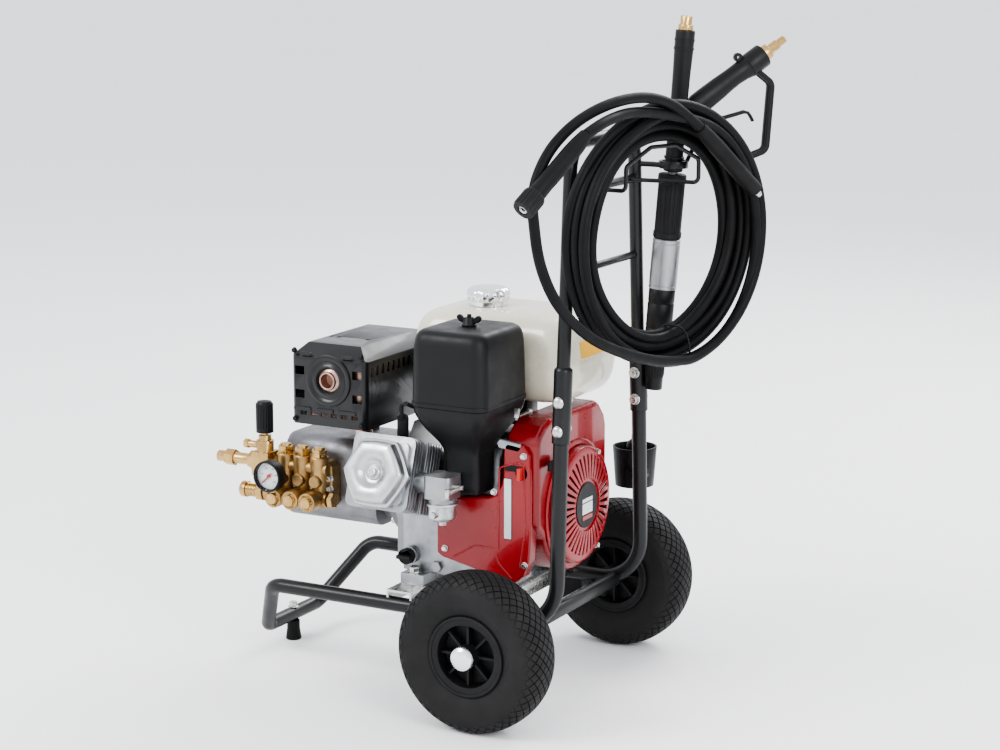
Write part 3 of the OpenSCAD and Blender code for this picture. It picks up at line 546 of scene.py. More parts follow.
def refine(node, width=0.0006, body=None, material=None, angle=38):
    """The CAD solid as one clean mesh with small radii along its edges."""
    source = NODES[node]
    part = next(p for p in frame["record"]["subparts"] if p["node"] == node)
    mesh = bpy.data.meshes.new(node + "_fine")
    bm = bmesh.new()
    bm.from_mesh(source.data)
    bmesh.ops.remove_doubles(bm, verts=bm.verts, dist=2e-6)
    bmesh.ops.dissolve_limit(bm, angle_limit=math.radians(0.6), verts=bm.verts, edges=bm.edges)
    bmesh.ops.recalc_face_normals(bm, faces=bm.faces)
    bm.to_mesh(mesh)
    bm.free()
    mesh.polygons.foreach_set("use_smooth", [True] * len(mesh.polygons))
    obj = collection_link(bpy.data.objects.new(node + "_fine", mesh))
    m = obj.modifiers.new("edge", "BEVEL")
    m.width = width
    m.segments = 2
    m.limit_method = "ANGLE"
    m.angle_limit = math.radians(angle)
    m.harden_normals = True
    m.use_clamp_overlap = True
    obj.data.materials.append(material or SPECIAL.get(node, PAINT[part["material_slot"]]))
    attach(obj, body or BODY_OF[node])
    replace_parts(obj, node)
    return obj


# ---------- trolley ----------
def frame_tube(name, points, diameter, *nodes):
    obj = tube(name, points, diameter, powder, smooth_curve=False, resolution=6)
    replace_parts(obj, *nodes)
    return obj


for sign, side in ((-1, "near"), (1, "far")):
    foot = at(-385, sign * 80, 47)
    knee = at(-320, sign * RAIL_Y, RAIL_Z)
    rise = (knee - foot).normalized() * 0.020
    start = rounded([foot + rise, knee, at(-200, sign * RAIL_Y, RAIL_Z)], 0.034)
    rear = rounded([at(-190, sign * RAIL_Y, RAIL_Z), at(UPRIGHT_X, sign * RAIL_Y, RAIL_Z),
                    at(UPRIGHT_X, sign * side_y(452), 452)], 0.075, 12)
    frame_tube(side + "_side", start + rear, 0.025, side + "_side_tube")
    sleeve_low, sleeve_high = at(UPRIGHT_X, sign * side_y(452), 452), at(UPRIGHT_X, sign * side_y(574), 574)
    collar_profile = [(0.0125, 0.0), (0.0148, 0.0012), (0.015, 0.003), (0.015, 0.116), (0.0146, 0.119),
                      (0.0115, 0.1224)]
    joint = finish_piece(lathe(side + "_joint", collar_profile, sleeve_low, sleeve_high - sleeve_low, 48),
        powder)
    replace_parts(joint, "joint_sleeves")
    for z in (474, 520):
        head = lathe(f"{side}_bolt_{z}", [(0.0, 0.0), (0.0095, 0.0), (0.0098, 0.0012), (0.0085, 0.0032),
                                          (0.006, 0.0047), (0.003, 0.0055), (0.0, 0.0057)],
                     at(UPRIGHT_X, sign * side_y(z) + sign * 15, z), (0, sign, 0), 32)
        finish_piece(head, zinc)
        bolt(f"{side}_nut_{z}", at(UPRIGHT_X, sign * side_y(z) - sign * 15, z), (0, -sign, 0), 13)

for x in (-66, 74):
    for y in (-112, 112):
        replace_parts(bolt(f"engine_bolt_{x}_{y}".replace("-", "m"), at(x, y, 193), (0, 0, 1), 16),
            "frame_bolts")
        bolt(f"engine_nut_{x}_{y}".replace("-", "m"), at(x, y, 171), (0, 0, -1), 16)
for i in range(4):
    a = math.radians(45 + 90 * i)
    bolt(f"pump_bolt_{i}", at(-137, 8 + 78 * math.cos(a), 315 + 78 * math.sin(a)), (-1, 0, 0), 12,
        socket=True)
bolt("foot_bolt", at(-385, 0, 59), (0, 0, 1), 13)

left, right = at(-385, -80, 47), at(-385, 80, 47)
rise = (at(-320, RAIL_Y, RAIL_Z) - right).normalized() * 0.020
frame_tube("foot_rail", rounded([left + Vector((rise.x, -rise.y, rise.z)), left, right, right + rise],
    0.024), 0.025, "foot_bar")
frame_tube("handle_hoop", rounded([at(UPRIGHT_X, -side_y(574), 574), at(UPRIGHT_X, -TOP_Y, HANDLE_Z),
    at(UPRIGHT_X, TOP_Y, HANDLE_Z), at(UPRIGHT_X, side_y(574), 574)], 0.045, 12), 0.022, "handle_tube")


def coil_place(h, z):
    return COIL_C + COIL_X * h / 1000 + Vector((0, 0, z / 1000))


frame_tube("hanger_rod", rounded([at(UPRIGHT_X + 6.5, -52, 848), coil_place(-85, 80), coil_place(-85, 118),
    coil_place(-28, 145), coil_place(28, 145), coil_place(85, 118), coil_place(85, 80),
    at(UPRIGHT_X + 6.5, 92, 848)], 0.009, 6), 0.007, "hose_hanger")


# ---------- wheels ----------
TYRE_PROFILE = [(61, -24), (64, -31), (72, -36), (85, -41.2), (102, -42.4), (114, -39.6), (121, -35),
    (126.5, -27), (129.2, -16), (130, 0), (129.2, 16), (126.5, 27), (121, 35), (114, 39.6), (102, 42.4),
    (85, 41.2), (72, 36), (64, 31), (61, 24)]


def tyre_curve():
    line = catmull([Vector((a, b, 0)) / 1000 for a, b in TYRE_PROFILE], 6)
    place = [0.0]
    for a, b in zip(line, line[1:]):
        place.append(place[-1] + (b - a).length)
    return line, place


def curve_at(line, place, s):
    """Radius, height and outward direction at length s along the tyre's section."""
    i = max(1, min(len(line) - 1, next((k for k, v in enumerate(place) if v >= s), len(line) - 1)))
    t = (s - place[i - 1]) / (place[i] - place[i - 1])
    p = line[i - 1].lerp(line[i], t)
    d = (line[i] - line[i - 1]).normalized()
    return p.x, p.y, Vector((d.y, -d.x)) * (1 if d.y >= 0 else -1)


def make_tyre(name, centre, body, node):
    line, place = tyre_curve()
    total = place[-1]
    depth = 0.0028
    tread_from, tread_to = total * 0.265, total * 0.735
    profile = []
    for p, s in zip(line, place):
        r, h = p.x, p.y
        edge = min(1.0, max(0.0, min(s - tread_from, tread_to - s) / 0.004 + 1))
        profile.append((r - depth * edge * (0.35 + 0.65 * min(1, max(0, (r - 0.105) / 0.02))), h))
    base = lathe(name + "_carcass", profile + [(0.063, 0.02), (0.063, -0.02), (0.061, -0.024)], centre,
        (0, 1, 0), 128, (1, 0, 0))
    finish_piece(base, tyre_rubber, body)
    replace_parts(base, node)
    across, around = 12, 46
    step_s = (tread_to - tread_from) / across
    step_a = 2 * math.pi / around
    verts, faces = [], []
    for i in range(across + 1):
        for j in range(around):
            s0 = tread_from + i * step_s
            a0 = (j + (0.5 if i % 2 else 0)) * step_a
            shape = [(1, 0), (0.5, 0.5), (0, 1), (-0.5, 0.5), (-1, 0), (-0.5, -0.5), (0, -1), (0.5, -0.5)]
            rows = []
            for scale, lift in ((0.90, -depth), (0.88, -0.0006), (0.80, 0.0)):
                row = []
                for u, v in shape:
                    s = max(tread_from - 0.002, min(tread_to + 0.002, s0 + u * scale * step_s))
                    r, h, out = curve_at(line, place, s)
                    a = a0 + v * scale * step_a * 0.5
                    rr, hh = r + out.x * lift, h + out.y * lift
                    row.append((centre.x + rr * math.cos(a), centre.y + hh, centre.z + rr * math.sin(a)))
                rows.append(row)
            o = len(verts)
            for row in rows:
                verts += row
            for k in range(2):
                for q in range(8):
                    w = (q + 1) % 8
                    faces.append((o + k * 8 + q, o + k * 8 + w, o + k * 8 + 8 + w, o + k * 8 + 8 + q))
            faces.append(tuple(o + 16 + q for q in range(8)))
    blocks = mesh_object(name + "_tread", verts, faces, smooth=False)
    sharpen(blocks)
    finish_piece(blocks, tyre_rubber, body)
    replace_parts(blocks, node)
    for sign in (-1, 1):
        bead = lathe(f"{name}_bead_{'in' if sign * centre.y < 0 else 'out'}", [
            (0.0605, 0.0345), (0.0612, 0.0368), (0.0635, 0.0375), (0.0655, 0.0366), (0.066, 0.0335)],
            centre, (0, sign, 0), 96)
        finish_piece(bead, tyre_rubber, body)


WHEEL = {"near": at(135, -264, 130), "far": at(135, 264, 130)}
for side, centre in WHEEL.items():
    make_tyre(side + "_wheel", centre, side + "_wheel", side + "_tyre")
    refine(side + "_rim", 0.0012, angle=30)

# ---------- engine: air cleaner ----------
AC_LOW, AC_HIGH = (-22, -207), (116, -45)


def rect_ring(low, high, radius, scale_x, scale_y, shift, z, steps=8):
    cx, cy = (low[0] + high[0]) / 2, (low[1] + high[1]) / 2
    outline = round_outline((high[0] - low[0]) * scale_x, (high[1] - low[1]) * scale_y, radius, steps)
    return [at(cx + shift + u, cy + v, z) for u, v in outline]


cover_rings = [rect_ring(AC_LOW, AC_HIGH, r, s, s, 0, z) for z, s, r in (
    (501, 0.99, 23), (501, 1.014, 24), (505, 1.02, 24), (507.5, 1.014, 24), (508, 1.0, 23), (540, 0.993, 23),
    (575, 0.983, 23), (598, 0.972, 23), (608, 0.955, 23), (615, 0.925, 22), (620, 0.882, 21), (623, 0.82, 20),
    (624, 0.74, 18), (624.3, 0.5, 12), (624.4, 0.1, 2.5))]
cover = finish_piece(loft("air_cover", cover_rings), plastic)
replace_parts(cover, "air_cleaner_cover")
case_rings = [rect_ring(AC_LOW, AC_HIGH, r, sx, sy, 0, z) for z, sx, sy, r in (
    (352, 0.42, 0.34, 8), (353, 0.44, 0.36, 9), (366, 0.46, 0.385, 10), (400, 0.467, 0.395, 10),
    (416, 0.475, 0.41, 11), (426, 0.50, 0.44, 12), (436, 0.56, 0.52, 13), (448, 0.66, 0.65, 15),
    (460, 0.77, 0.78, 17), (474, 0.875, 0.89, 19), (484, 0.94, 0.955, 21), (491, 0.972, 0.98, 22),
    (499.6, 0.985, 0.985, 22))]
case = finish_piece(loft("air_case", case_rings), plastic)
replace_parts(case, "air_cleaner_case")

nut_c = at(47, -126, 624)
hub = finish_piece(lathe("wing_hub", [(0.0, 0.0005), (0.012, 0.0005), (0.0125, 0.002), (0.0105, 0.004),
    (0.009, 0.012), (0.0075, 0.014), (0.0035, 0.0145), (0.0035, 0.019), (0.0, 0.0195)], nut_c, (0, 0, 1),
    32), plastic, "filter_nut")
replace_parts(hub, "wing_nut")
for sign in (-1, 1):
    outline = [(4, 3), (10, 4), (18, 7), (22, 11), (22.5, 15), (19, 18), (14, 17), (9, 12.5), (4, 11)]
    lobe = prism(f"wing_{'a' if sign > 0 else 'b'}", [(u / 1000, v / 1000) for u, v in outline],
                 nut_c + Vector((0, -0.0028, 0)), (sign, 0, 0), (0, 0, 1), (0, 1, 0), 0.0056)
    finish_piece(lobe, plastic, "filter_nut", bevel=0.0016, segments=3)

# ---------- engine: tank ----------
TANK_C, TANK_HALF = (27, 68), (155, 106)


def tank_ring(z, sx, sy, radius=46):
    outline = round_outline(2 * TANK_HALF[0] * sx, 2 * TANK_HALF[1] * sy, radius * min(sx, sy), 10)
    return [at(TANK_C[0] + u, TANK_C[1] + v, z) for u, v in outline]


tank = loft("tank_shell", [tank_ring(*v) for v in (
    (484.5, 0.70, 0.68), (484, 0.80, 0.78), (488, 0.86, 0.84), (494, 0.905, 0.885), (503, 0.942, 0.925),
    (512, 0.968, 0.952), (530, 0.988, 0.985), (545, 0.997, 0.997), (547, 1.0, 1.0), (551, 1.0, 1.0),
    (553, 0.996, 0.996), (572, 0.986, 0.98), (590, 0.965, 0.955), (602, 0.935, 0.92), (612, 0.89, 0.87),
    (619, 0.82, 0.80), (624, 0.735, 0.715), (627, 0.62, 0.60), (628, 0.5, 0.48), (628.3, 0.3, 0.28))])
finish_piece(tank, cream, subdivide=1, slot="tank_cream")
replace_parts(tank, "fuel_tank")

cap_c = at(-14, 50, 628)
cap_steps = 96
rings = []
for r, h, flute in ((30, 0, 0), (33.5, 0.5, 0), (33.5, 7.5, 0), (35.5, 8.2, 0.4), (37, 9.5, 1), (37, 22, 1),
        (35.6, 25, 0.8), (33, 28.2, 0.3), (29, 29.6, 0), (24, 30.2, 0), (14, 30.8, 0), (0.5, 31, 0)):
    ring = []
    for k in range(cap_steps):
        a = 2 * math.pi * k / cap_steps
        rr = r - flute * 2.4 * (0.5 + 0.5 * math.cos(12 * a)) ** 2
        ring.append(cap_c + Vector((math.cos(a) * rr, math.sin(a) * rr, h)) / 1000)
    rings.append(ring)
filler = finish_piece(loft("filler_cap", rings), chrome, "tank_cap", slot="chrome")
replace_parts(filler, "fuel_cap")

# ---------- engine: valve cover, in the cylinder's own directions ----------
TILT = math.radians(18)
CYL_U = Vector((0, -math.cos(TILT), math.sin(TILT)))
CYL_V = Vector((0, math.sin(TILT), math.cos(TILT)))
CYL_O = at(-74, 8, 315)


def on_head(x, y, z):
    return CYL_O + Vector((x / 1000, 0, 0)) + CYL_V * (y / 1000) + CYL_U * (z / 1000)


def hex_ring(scale, height, power=0.72, steps=96, centre=(0, -2)):
    ring = []
    for k in range(steps):
        a = 360 * k / steps
        near = (a % 60) - 30
        r = 57.5 * scale * (math.cos(math.radians(30)) / math.cos(math.radians(near))) ** power / 0.93
        ring.append(on_head(centre[0] + r * math.cos(math.radians(a)),
            centre[1] + r * math.sin(math.radians(a)), height))
    return ring


cover_plan = ((0.95, 232.2), (0.985, 232.2), (0.99, 233), (0.99, 238.5), (0.975, 240), (0.93, 240.6),
    (0.915, 241.6), (0.905, 244), (0.895, 249), (0.87, 252.8), (0.83, 255), (0.77, 256.3), (0.66, 257),
    (0.54, 256.8), (0.45, 255.6), (0.38, 252.5), (0.32, 248.8), (0.27, 247.2), (0.18, 246.8),
    (0.02, 246.8))
rocker = finish_piece(loft("rocker_cover", [hex_ring(s, h, 0.72 if s > 0.5 else 0.3) for s,
    h in cover_plan]), bright, slot="cast_alloy")
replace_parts(rocker, "valve_cover")
for steps, plan in ((48, [(0.0, 246.9), (0.0125, 246.9), (0.0125, 249), (0.0105, 250.5), (0.0, 250.5)]),
                    (6, [(0.0, 250.4), (0.0085, 250.4), (0.0085, 256.5), (0.0072, 257.6), (0.0042, 257.6),
                         (0.0036, 256.2), (0.0, 256.2)])):
    piece = lathe("rocker_bolt" if steps == 6 else "rocker_washer",
        [(r, (h - 246.9) / 1000) for r, h in plan], on_head(0, -2, 246.9), CYL_U, steps)
    finish_piece(piece, zinc, bevel=0.0003)

# ---------- engine: recoil starter cover ----------
REC_O = at(176, 8, 315)


def recoil_height(r):
    if r > 90:
        return 8.3 + 6.2 * math.sqrt(max(0.0, 1 - ((r - 90) / 8) ** 2))
    return 14.5 + 6.5 * (1 - (r / 90) ** 2.2)


def recoil():
    radii = [0.5, 12, 24, 34, 40, 43.5, 44.5, 46, 55, 65, 75, 84, 86.5, 88, 91, 94, 96.5, 98]
    steps = 288
    verts, faces = [], []
    for r in radii:
        lift = recoil_height(r) - (3.2 if r < 44 else 0)
        for k in range(steps):
            a = 2 * math.pi * k / steps
            verts.append(REC_O + Vector((lift, r * math.cos(a), r * math.sin(a))) / 1000)
    for i in range(len(radii) - 1):
        for k in range(steps):
            cut = 46 <= radii[i] < 84 and k % 8 in (2, 3, 4)
            if not cut:
                j = (k + 1) % steps
                faces.append((i * steps + k, i * steps + j, (i + 1) * steps + j, (i + 1) * steps + k))
    faces.append(tuple(range(steps))[::-1])
    obj = mesh_object("recoil_dome", verts, faces)
    sharpen(obj, 45)
    m = obj.modifiers.new("wall", "SOLIDIFY")
    m.thickness = 0.0028
    m.offset = -1
    finish_piece(obj, red)
    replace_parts(obj, "recoil_cover")
    rim = lathe("recoil_rim", [(0.0925, 0.0), (0.098, 0.0), (0.098, 0.0087), (0.0965, 0.011), (0.094, 0.012)],
                REC_O, (1, 0, 0), 96)
    finish_piece(rim, red)
    for i in range(3):
        a = math.radians(60 + 120 * i)
        bolt(f"recoil_bolt_{i}", REC_O + Vector((0.0125, 0.0925 * math.cos(a), 0.0925 * math.sin(a))),
            (1, 0, 0), 8)


recoil()
hub_label = lathe("recoil_label", [(0.0, 0.0), (0.038, 0.0), (0.0385, 0.0004), (0.038, 0.0012),
    (0.0, 0.0014)], REC_O + Vector((0.0176, 0, 0)), (1, 0, 0), 64)
finish_piece(hub_label, plastic)
for i, (low_z, high_z, paint) in enumerate(((-14, 4, silver_label), (6, 12, silver_label), (-24, -17, red))):
    outline = [(-0.018, low_z / 1000), (0.018, low_z / 1000), (0.018, high_z / 1000), (-0.018, high_z / 1000)]
    stripe = prism(f"recoil_stripe_{i}", outline, REC_O + Vector((0.0189, 0, 0)), (0, 1, 0), (0, 0, 1),
        (1, 0, 0), 0.0006)
    finish_piece(stripe, paint, slot="zinc")

# ---------- gauge ----------
GAUGE_O = at(-327, -150, 338)
GAUGE_N = Vector((0, -1, 0))
shell = lathe("gauge_case", [(0.0, -0.010), (0.024, -0.010), (0.0262, -0.0085), (0.027, -0.006),
    (0.027, 0.0105), (0.0265, 0.0125), (0.025, 0.0138), (0.0238, 0.0135), (0.0235, 0.0118),
    (0.0235, 0.0025), (0.0, 0.0025)], GAUGE_O, GAUGE_N, 72)
finish_piece(shell, plastic)
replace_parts(shell, "gauge")
dial = lathe("gauge_dial", [(0.0, 0.0), (0.0233, 0.0), (0.0233, 0.0005), (0.0, 0.0006)],
    GAUGE_O + GAUGE_N * 0.0026, GAUGE_N, 64)
finish_piece(dial, white_print, slot="zinc")


def dial_place(angle, radius, lift):
    a = math.radians(angle)
    return GAUGE_O + Vector((math.cos(a) * radius, 0, math.sin(a) * radius)) / 1000 + GAUGE_N * lift


verts, faces = [], []
for i in range(51):
    angle = 225 - 270 * i / 50
    long = 3.6 if i % 10 == 0 else (2.6 if i % 5 == 0 else 1.6)
    wide = 0.75 if i % 5 == 0 else 0.4
    o = len(verts)
    for lift in (0.0031, 0.0034):
        for r, side in ((20.5, -wide), (20.5, wide), (20.5 - long, wide), (20.5 - long, -wide)):
            verts.append(dial_place(angle + side, r, lift))
    faces += [(o + 4, o + 5, o + 6, o + 7), (o, o + 3, o + 2, o + 1)]
    faces += [(o + q, o + (q + 1) % 4, o + 4 + (q + 1) % 4, o + 4 + q) for q in range(4)]
ticks = mesh_object("gauge_ticks", verts, faces, smooth=False)
finish_piece(ticks, plastic)
for i in range(6):
    text = bpy.data.curves.new(f"gauge_number_{i}", "FONT")
    text.body = str(50 * i)
    text.size = 0.0042
    text.align_x = text.align_y = "CENTER"
    text.extrude = 0.0001
    number = collection_link(bpy.data.objects.new(f"gauge_number_{i}", text))
    number.location = dial_place(225 - 54 * i, 13.6, 0.0032)
    number.rotation_euler = (math.radians(90), 0, 0)
    text.materials.append(plastic)
    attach(number, "frame")
pane = lathe("gauge_glass", [(0.0, 0.0), (0.0232, 0.0), (0.0232, 0.001), (0.015, 0.0016), (0.0, 0.0018)],
             GAUGE_O + GAUGE_N * 0.0112, GAUGE_N, 64)
finish_piece(pane, glass, slot="zinc")

# ---------- gun ----------
GUN_O = at(307, 156, 962)
GUN_YAW = math.radians(48)
GUN_X = Vector((math.cos(GUN_YAW), math.sin(GUN_YAW), 0))
GUN_Y = Vector((-math.sin(GUN_YAW), math.cos(GUN_YAW), 0))
BARREL_U = Vector((164, 0, 110)).normalized()
BARREL_V = Vector((-BARREL_U.z, 0, BARREL_U.x))


def on_gun(x, y, z):
    return GUN_O + GUN_X * (x / 1000) + GUN_Y * (y / 1000) + Vector((0, 0, z / 1000))


def along_barrel(s, v=0.0, y=0.0):
    p = BARREL_U * s + BARREL_V * v
    return on_gun(p.x, y, p.z)


def oval_loft(name, sections, steps=40):
    """sections: (centre, across direction, width direction, half height, half width)"""
    rings = []
    for centre, a, b, ha, hb in sections:
        rings.append([centre + a * ha * math.cos(2 * math.pi * k / steps) / 1000
                      + b * hb * math.sin(2 * math.pi * k / steps) / 1000 for k in range(steps)])
    return loft(name, rings)


gun_up = (GUN_X * BARREL_V.x + Vector((0, 0, BARREL_V.z))).normalized()
grip = oval_loft("gun_grip", [(along_barrel(s, v), gun_up, GUN_Y, h, w) for s, v, h, w in (
    (-14, -1, 6, 6), (-11, -1, 11, 10), (-4, -1, 16, 14), (10, 0, 18.8, 16.2), (30, 0, 19, 16.6),
    (55, 0.5, 18.2, 16), (75, 1, 16.8, 15.4), (92, 1, 16.4, 15.4), (106, 0.6, 17.2, 16), (116, 0, 18.8, 17.4),
    (119, 0, 19.6, 18.6))])
finish_piece(grip, plastic)
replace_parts(grip, "gun_body")
socket = lathe("gun_socket", [(0.0, 0.0), (0.0194, 0.0), (0.0198, 0.001), (0.0198, 0.0315), (0.0194, 0.033),
    (0.0184, 0.0335), (0.0150, 0.033), (0.0138, 0.031), (0.0138, 0.024), (0.0, 0.024)], along_barrel(118),
    along_barrel(119) - along_barrel(118), 56)
finish_piece(socket, plastic)
lug = lathe("gun_lug", [(0.0028, 0.0), (0.0065, 0.0), (0.0072, 0.0008), (0.0072, 0.0072), (0.0065, 0.008),
                        (0.0028, 0.008), (0.0028, 0.0)], along_barrel(112, 23, -4), GUN_Y, 32)
finish_piece(lug, plastic)

heel = Vector((96, 0, -86))
heel_dir = heel.normalized()
heel_up = (GUN_X * -heel_dir.z + Vector((0, 0, heel_dir.x))).normalized()
lower = oval_loft("gun_stock", [(on_gun(*(heel_dir * s)), heel_up, GUN_Y, h, w) for s, h,
    w in ((0, 13, 12), (12, 13.6, 13), (40, 13.8, 13), (80, 13, 12.6), (108, 13.4, 13), (122, 13.6, 13),
    (127, 11, 10.5), (129, 6, 6))])
finish_piece(lower, plastic)


def guard_path():
    top = BARREL_U * 128 + Vector((6, 0, -12))
    return rounded([top / 1000, Vector((140, 0, 38)) / 1000, Vector((132, 0, -72)) / 1000,
                    Vector((96, 0, -84)) / 1000], 0.014, 8)


def guard():
    """A flat trigger guard with a raised middle rib, swept along its path."""
    path = guard_path()
    section = [(-4, -9.2), (-5, -7.6), (-5, 7.6), (-4, 9.2), (2.8, 9.2), (3.6, 7.8), (3.9, 4), (5.6, 2.4),
        (5.6, -2.4), (3.9, -4), (3.6, -7.8), (2.8, -9.2)]
    rings = []
    for i, p in enumerate(path):
        d = (path[min(i + 1, len(path) - 1)] - path[max(i - 1, 0)]).normalized()
        n = Vector((-d.z, 0, d.x)) * -1
        rings.append([on_gun(*((p * 1000 + n * u) + Vector((0, v, 0)))) for u, v in section])
    return loft("gun_guard", rings)


finish_piece(guard(), plastic, bevel=0.0006)
lever_path = [(0, 0), (18, 2.6), (36, 6.2), (54, 10.4), (68, 14), (76, 12.6), (81, 6), (85, -1.5)]
lever_sections = []
for i, (x, z) in enumerate(lever_path):
    a, b = lever_path[max(0, i - 1)], lever_path[min(len(lever_path) - 1, i + 1)]
    d = Vector((b[0] - a[0], 0, b[1] - a[1])).normalized()
    n = (GUN_X * -d.z + Vector((0, 0, d.x))).normalized()
    lever_sections.append((on_gun(24 + x, 0, -22 + z), n, GUN_Y, 3.4 if i < 5 else 2.6, 4.6))
lever = finish_piece(oval_loft("trigger_lever", lever_sections, 24), plastic, "trigger")
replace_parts(lever, "gun_trigger")

# ---------- lance ----------
LANCE_LOW = at(253, 136, 494)
LANCE_U = Vector((51, 0, 619)).normalized()


def on_lance(s):
    return LANCE_LOW + LANCE_U * (s / 1000)


def lance_piece(name, place, profile, material, slot, body="frame", steps=56):
    """A turned piece on the lance; the profile is (radius, height) in millimetres from its own start."""
    return finish_piece(lathe(name, [(r / 1000, h / 1000) for r, h in profile], on_lance(place), LANCE_U,
        steps), material, body, slot=slot)


rod = tube("lance_rod", [on_lance(40), on_lance(380)], 0.016, cast_dark, smooth_curve=False,
    slot="black_paint")
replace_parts(rod, "lance")
lance_piece("lance_sleeve", 84, [(8.3, 0), (20.4, 0), (22, 1.6), (22, 20), (21.4, 21), (21.4, 23), (22, 24),
    (22, 62), (21.4, 63), (21.4, 65), (22, 66), (22, 86), (21, 87.5), (8.3, 87.5)], plastic,
    "black_plastic")
lance_piece("lance_shroud", 171.6, [(8.3, 0), (22, 0), (23, 1), (23, 5), (22.5, 5.6), (22.5, 7), (23, 7.6),
    (23, 76), (22.5, 76.6), (22.5, 78), (23, 78.6), (23, 83), (21.6, 84.4), (8.3, 84.4)], dull_steel,
    "steel")
lance_piece("lance_grip", 368, [(8.3, 0), (15, 0), (16, 1.4), (16, 12), (14.6, 16), (14.4, 60), (14.0, 110),
                                (14.6, 160), (15.8, 200), (16, 227), (15.4, 229.6), (12, 230), (0, 230)],
            plastic, "black_plastic")
for place in (388, 566, 580):
    lance_piece(f"lance_band_{place}", place, [(14.4, 0), (16.6, 0.6), (16.6, 4.4), (14.4, 5)], plastic,
                "black_plastic")
knurled("nozzle_grip", on_lance(19), LANCE_U, 0.052, 0.0158, 20, 0.0014, 0.0138, plastic, "black_plastic")
for place in (257.6, 352):
    lance_piece(f"collar_band_{int(place)}", place, [(16, 0), (22.6, 0), (23.4, 1), (23.4, 9), (22.6, 10),
        (16, 10)], plastic_soft, "black_plastic", "collar")

# ---------- engine: fan housing with its side duct ----------
CRANK = (8, 315)


def arc(cx, cy, r, a0, a1, n):
    return [(cx + r * math.cos(math.radians(a0 + (a1 - a0) * i / n)),
             cy + r * math.sin(math.radians(a0 + (a1 - a0) * i / n))) for i in range(n + 1)]


def metres(points):
    return [(u / 1000, v / 1000) for u, v in points]


drum_outline = arc(*CRANK, 112, 200, 345, 28) + [(124, 332), (126, 350), (126, 428), (120, 446), (100, 468),
                                                 (88, 474), (-78, 474), (-100, 466), (-120, 450), (-124, 436),
                                                 (-124, 302)]
drum = prism("fan_drum", metres(drum_outline), at(112, 0, 0), (0, 1, 0), (0, 0, 1), (1, 0, 0), 0.060)
finish_piece(drum, red, bevel=0.0085, segments=4)
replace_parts(drum, "fan_shroud")
ring_profile = [(0.0985, 0.0), (0.1085, 0.0), (0.1085, 0.0022), (0.106, 0.0040), (0.1005, 0.0042),
    (0.0985, 0.0034)]
finish_piece(lathe("fan_ring", ring_profile, at(171.8, *CRANK), (1, 0, 0), 128), red)
duct_outline = [(-12, 240), (-12, 330), (-6, 336), (84, 346), (98, 352), (108, 368), (112, 384), (113, 436),
    (120, 442), (150, 438), (160, 424), (163, 380), (163, 290), (160, 248), (150, 220), (134, 207),
    (112, 207), (60, 221), (0, 234)]
duct = prism("fan_duct", metres(duct_outline), at(0, -108, 0), (1, 0, 0), (0, 0, 1), (0, -1, 0), 0.025)
finish_piece(duct, red, bevel=0.0075, segments=4)
for name, line in (
        ("duct_crease_low", [(20, 238), (60, 262), (96, 262), (104, 238), (130, 214)]),
        ("duct_crease_high", [(104, 262), (106, 398), (150, 412), (154, 300), (144, 236)])):
    tube(name, rounded([at(x, -132.6, z) for x, z in line], 0.008, 5), 0.0034, red, smooth_curve=False,
         resolution=4)


def plate(name, x0, x1, z0, z1, y, thick, paint, radius=2.0, slot="zinc"):
    outline = [((x0 + x1) / 2 + u, (z0 + z1) / 2 + v) for u, v in round_outline(x1 - x0, z1 - z0, radius, 4)]
    obj = prism(name, metres(outline), at(0, y, 0), (1, 0, 0), (0, 0, 1), (0, -1, 0), thick / 1000)
    return finish_piece(obj, paint, bevel=0.0002, slot=slot)


plate("duct_strip_border", 114, 129, 280, 382, -132.9, 0.7, plastic, 1.5)
plate("duct_strip", 115, 128, 281, 381, -133.2, 0.8, silver_label, 1.2)
plate("duct_badge", 116, 146, 394, 404, -132.9, 0.9, plastic, 3)
for i, (x, z) in enumerate(((96, 356), (150, 421), (152, 240), (4, 250))):
    bolt(f"shroud_bolt_{i}", at(x, -132.6, z), (0, -1, 0), 8)

# plain amber label on the tank's end
tank_label = prism("tank_label", metres(round_outline(96, 28, 3, 4)), at(177.6, 58, 572), (0, 1, 0),
                   Vector((-4, 0, 30)).normalized(), Vector((30, 0, 4)).normalized(), 0.0026)
finish_piece(tank_label, amber, bevel=0.0003, slot="zinc")

# small bracket at the duct's upper corner
bracket = prism("governor_bracket", metres([(104, 430), (140, 426), (146, 432), (144, 440), (106, 446),
    (100, 438)]), at(0, -126, 0), (1, 0, 0), (0, 0, 1), (0, -1, 0), 0.007)
finish_piece(bracket, cast, bevel=0.0018, slot="cast_alloy")

# ---------- engine: exhaust shield details ----------
dish = [(0.0225, 0.0), (0.0225, 0.0035), (0.025, 0.0042), (0.029, 0.002), (0.0325, 0.0012), (0.036, 0.0034),
        (0.0395, 0.0042), (0.0425, 0.003), (0.0435, 0.0)]
finish_piece(lathe("shield_dish", dish, at(-206, -152, 514), (0, -1, 0), 72), shield_black)
for i, (x, z, w, h) in enumerate(((-258, 462, 34, 7), (-214, 462, 34, 7), (-170, 462, 34, 7),
        (-170, 556, 22, 6), (-250, 556, 22, 6))):
    rib = prism(f"shield_rib_{i}", [(x / 1000 + u / 1000, z / 1000 + v / 1000) for u,
        v in round_outline(w, h, h / 2 - 0.1, 5)], at(0, -151.5, 0), (1, 0, 0), (0, 0, 1), (0, -1, 0),
        0.0028)
    finish_piece(rib, shield_black, bevel=0.0011, segments=3)
for i, (x, z) in enumerate(((-272, 560), (-142, 560), (-272, 444), (-142, 444))):
    bolt(f"shield_bolt_{i}", at(x, -152, z), (0, -1, 0), 7, material=black_metal)

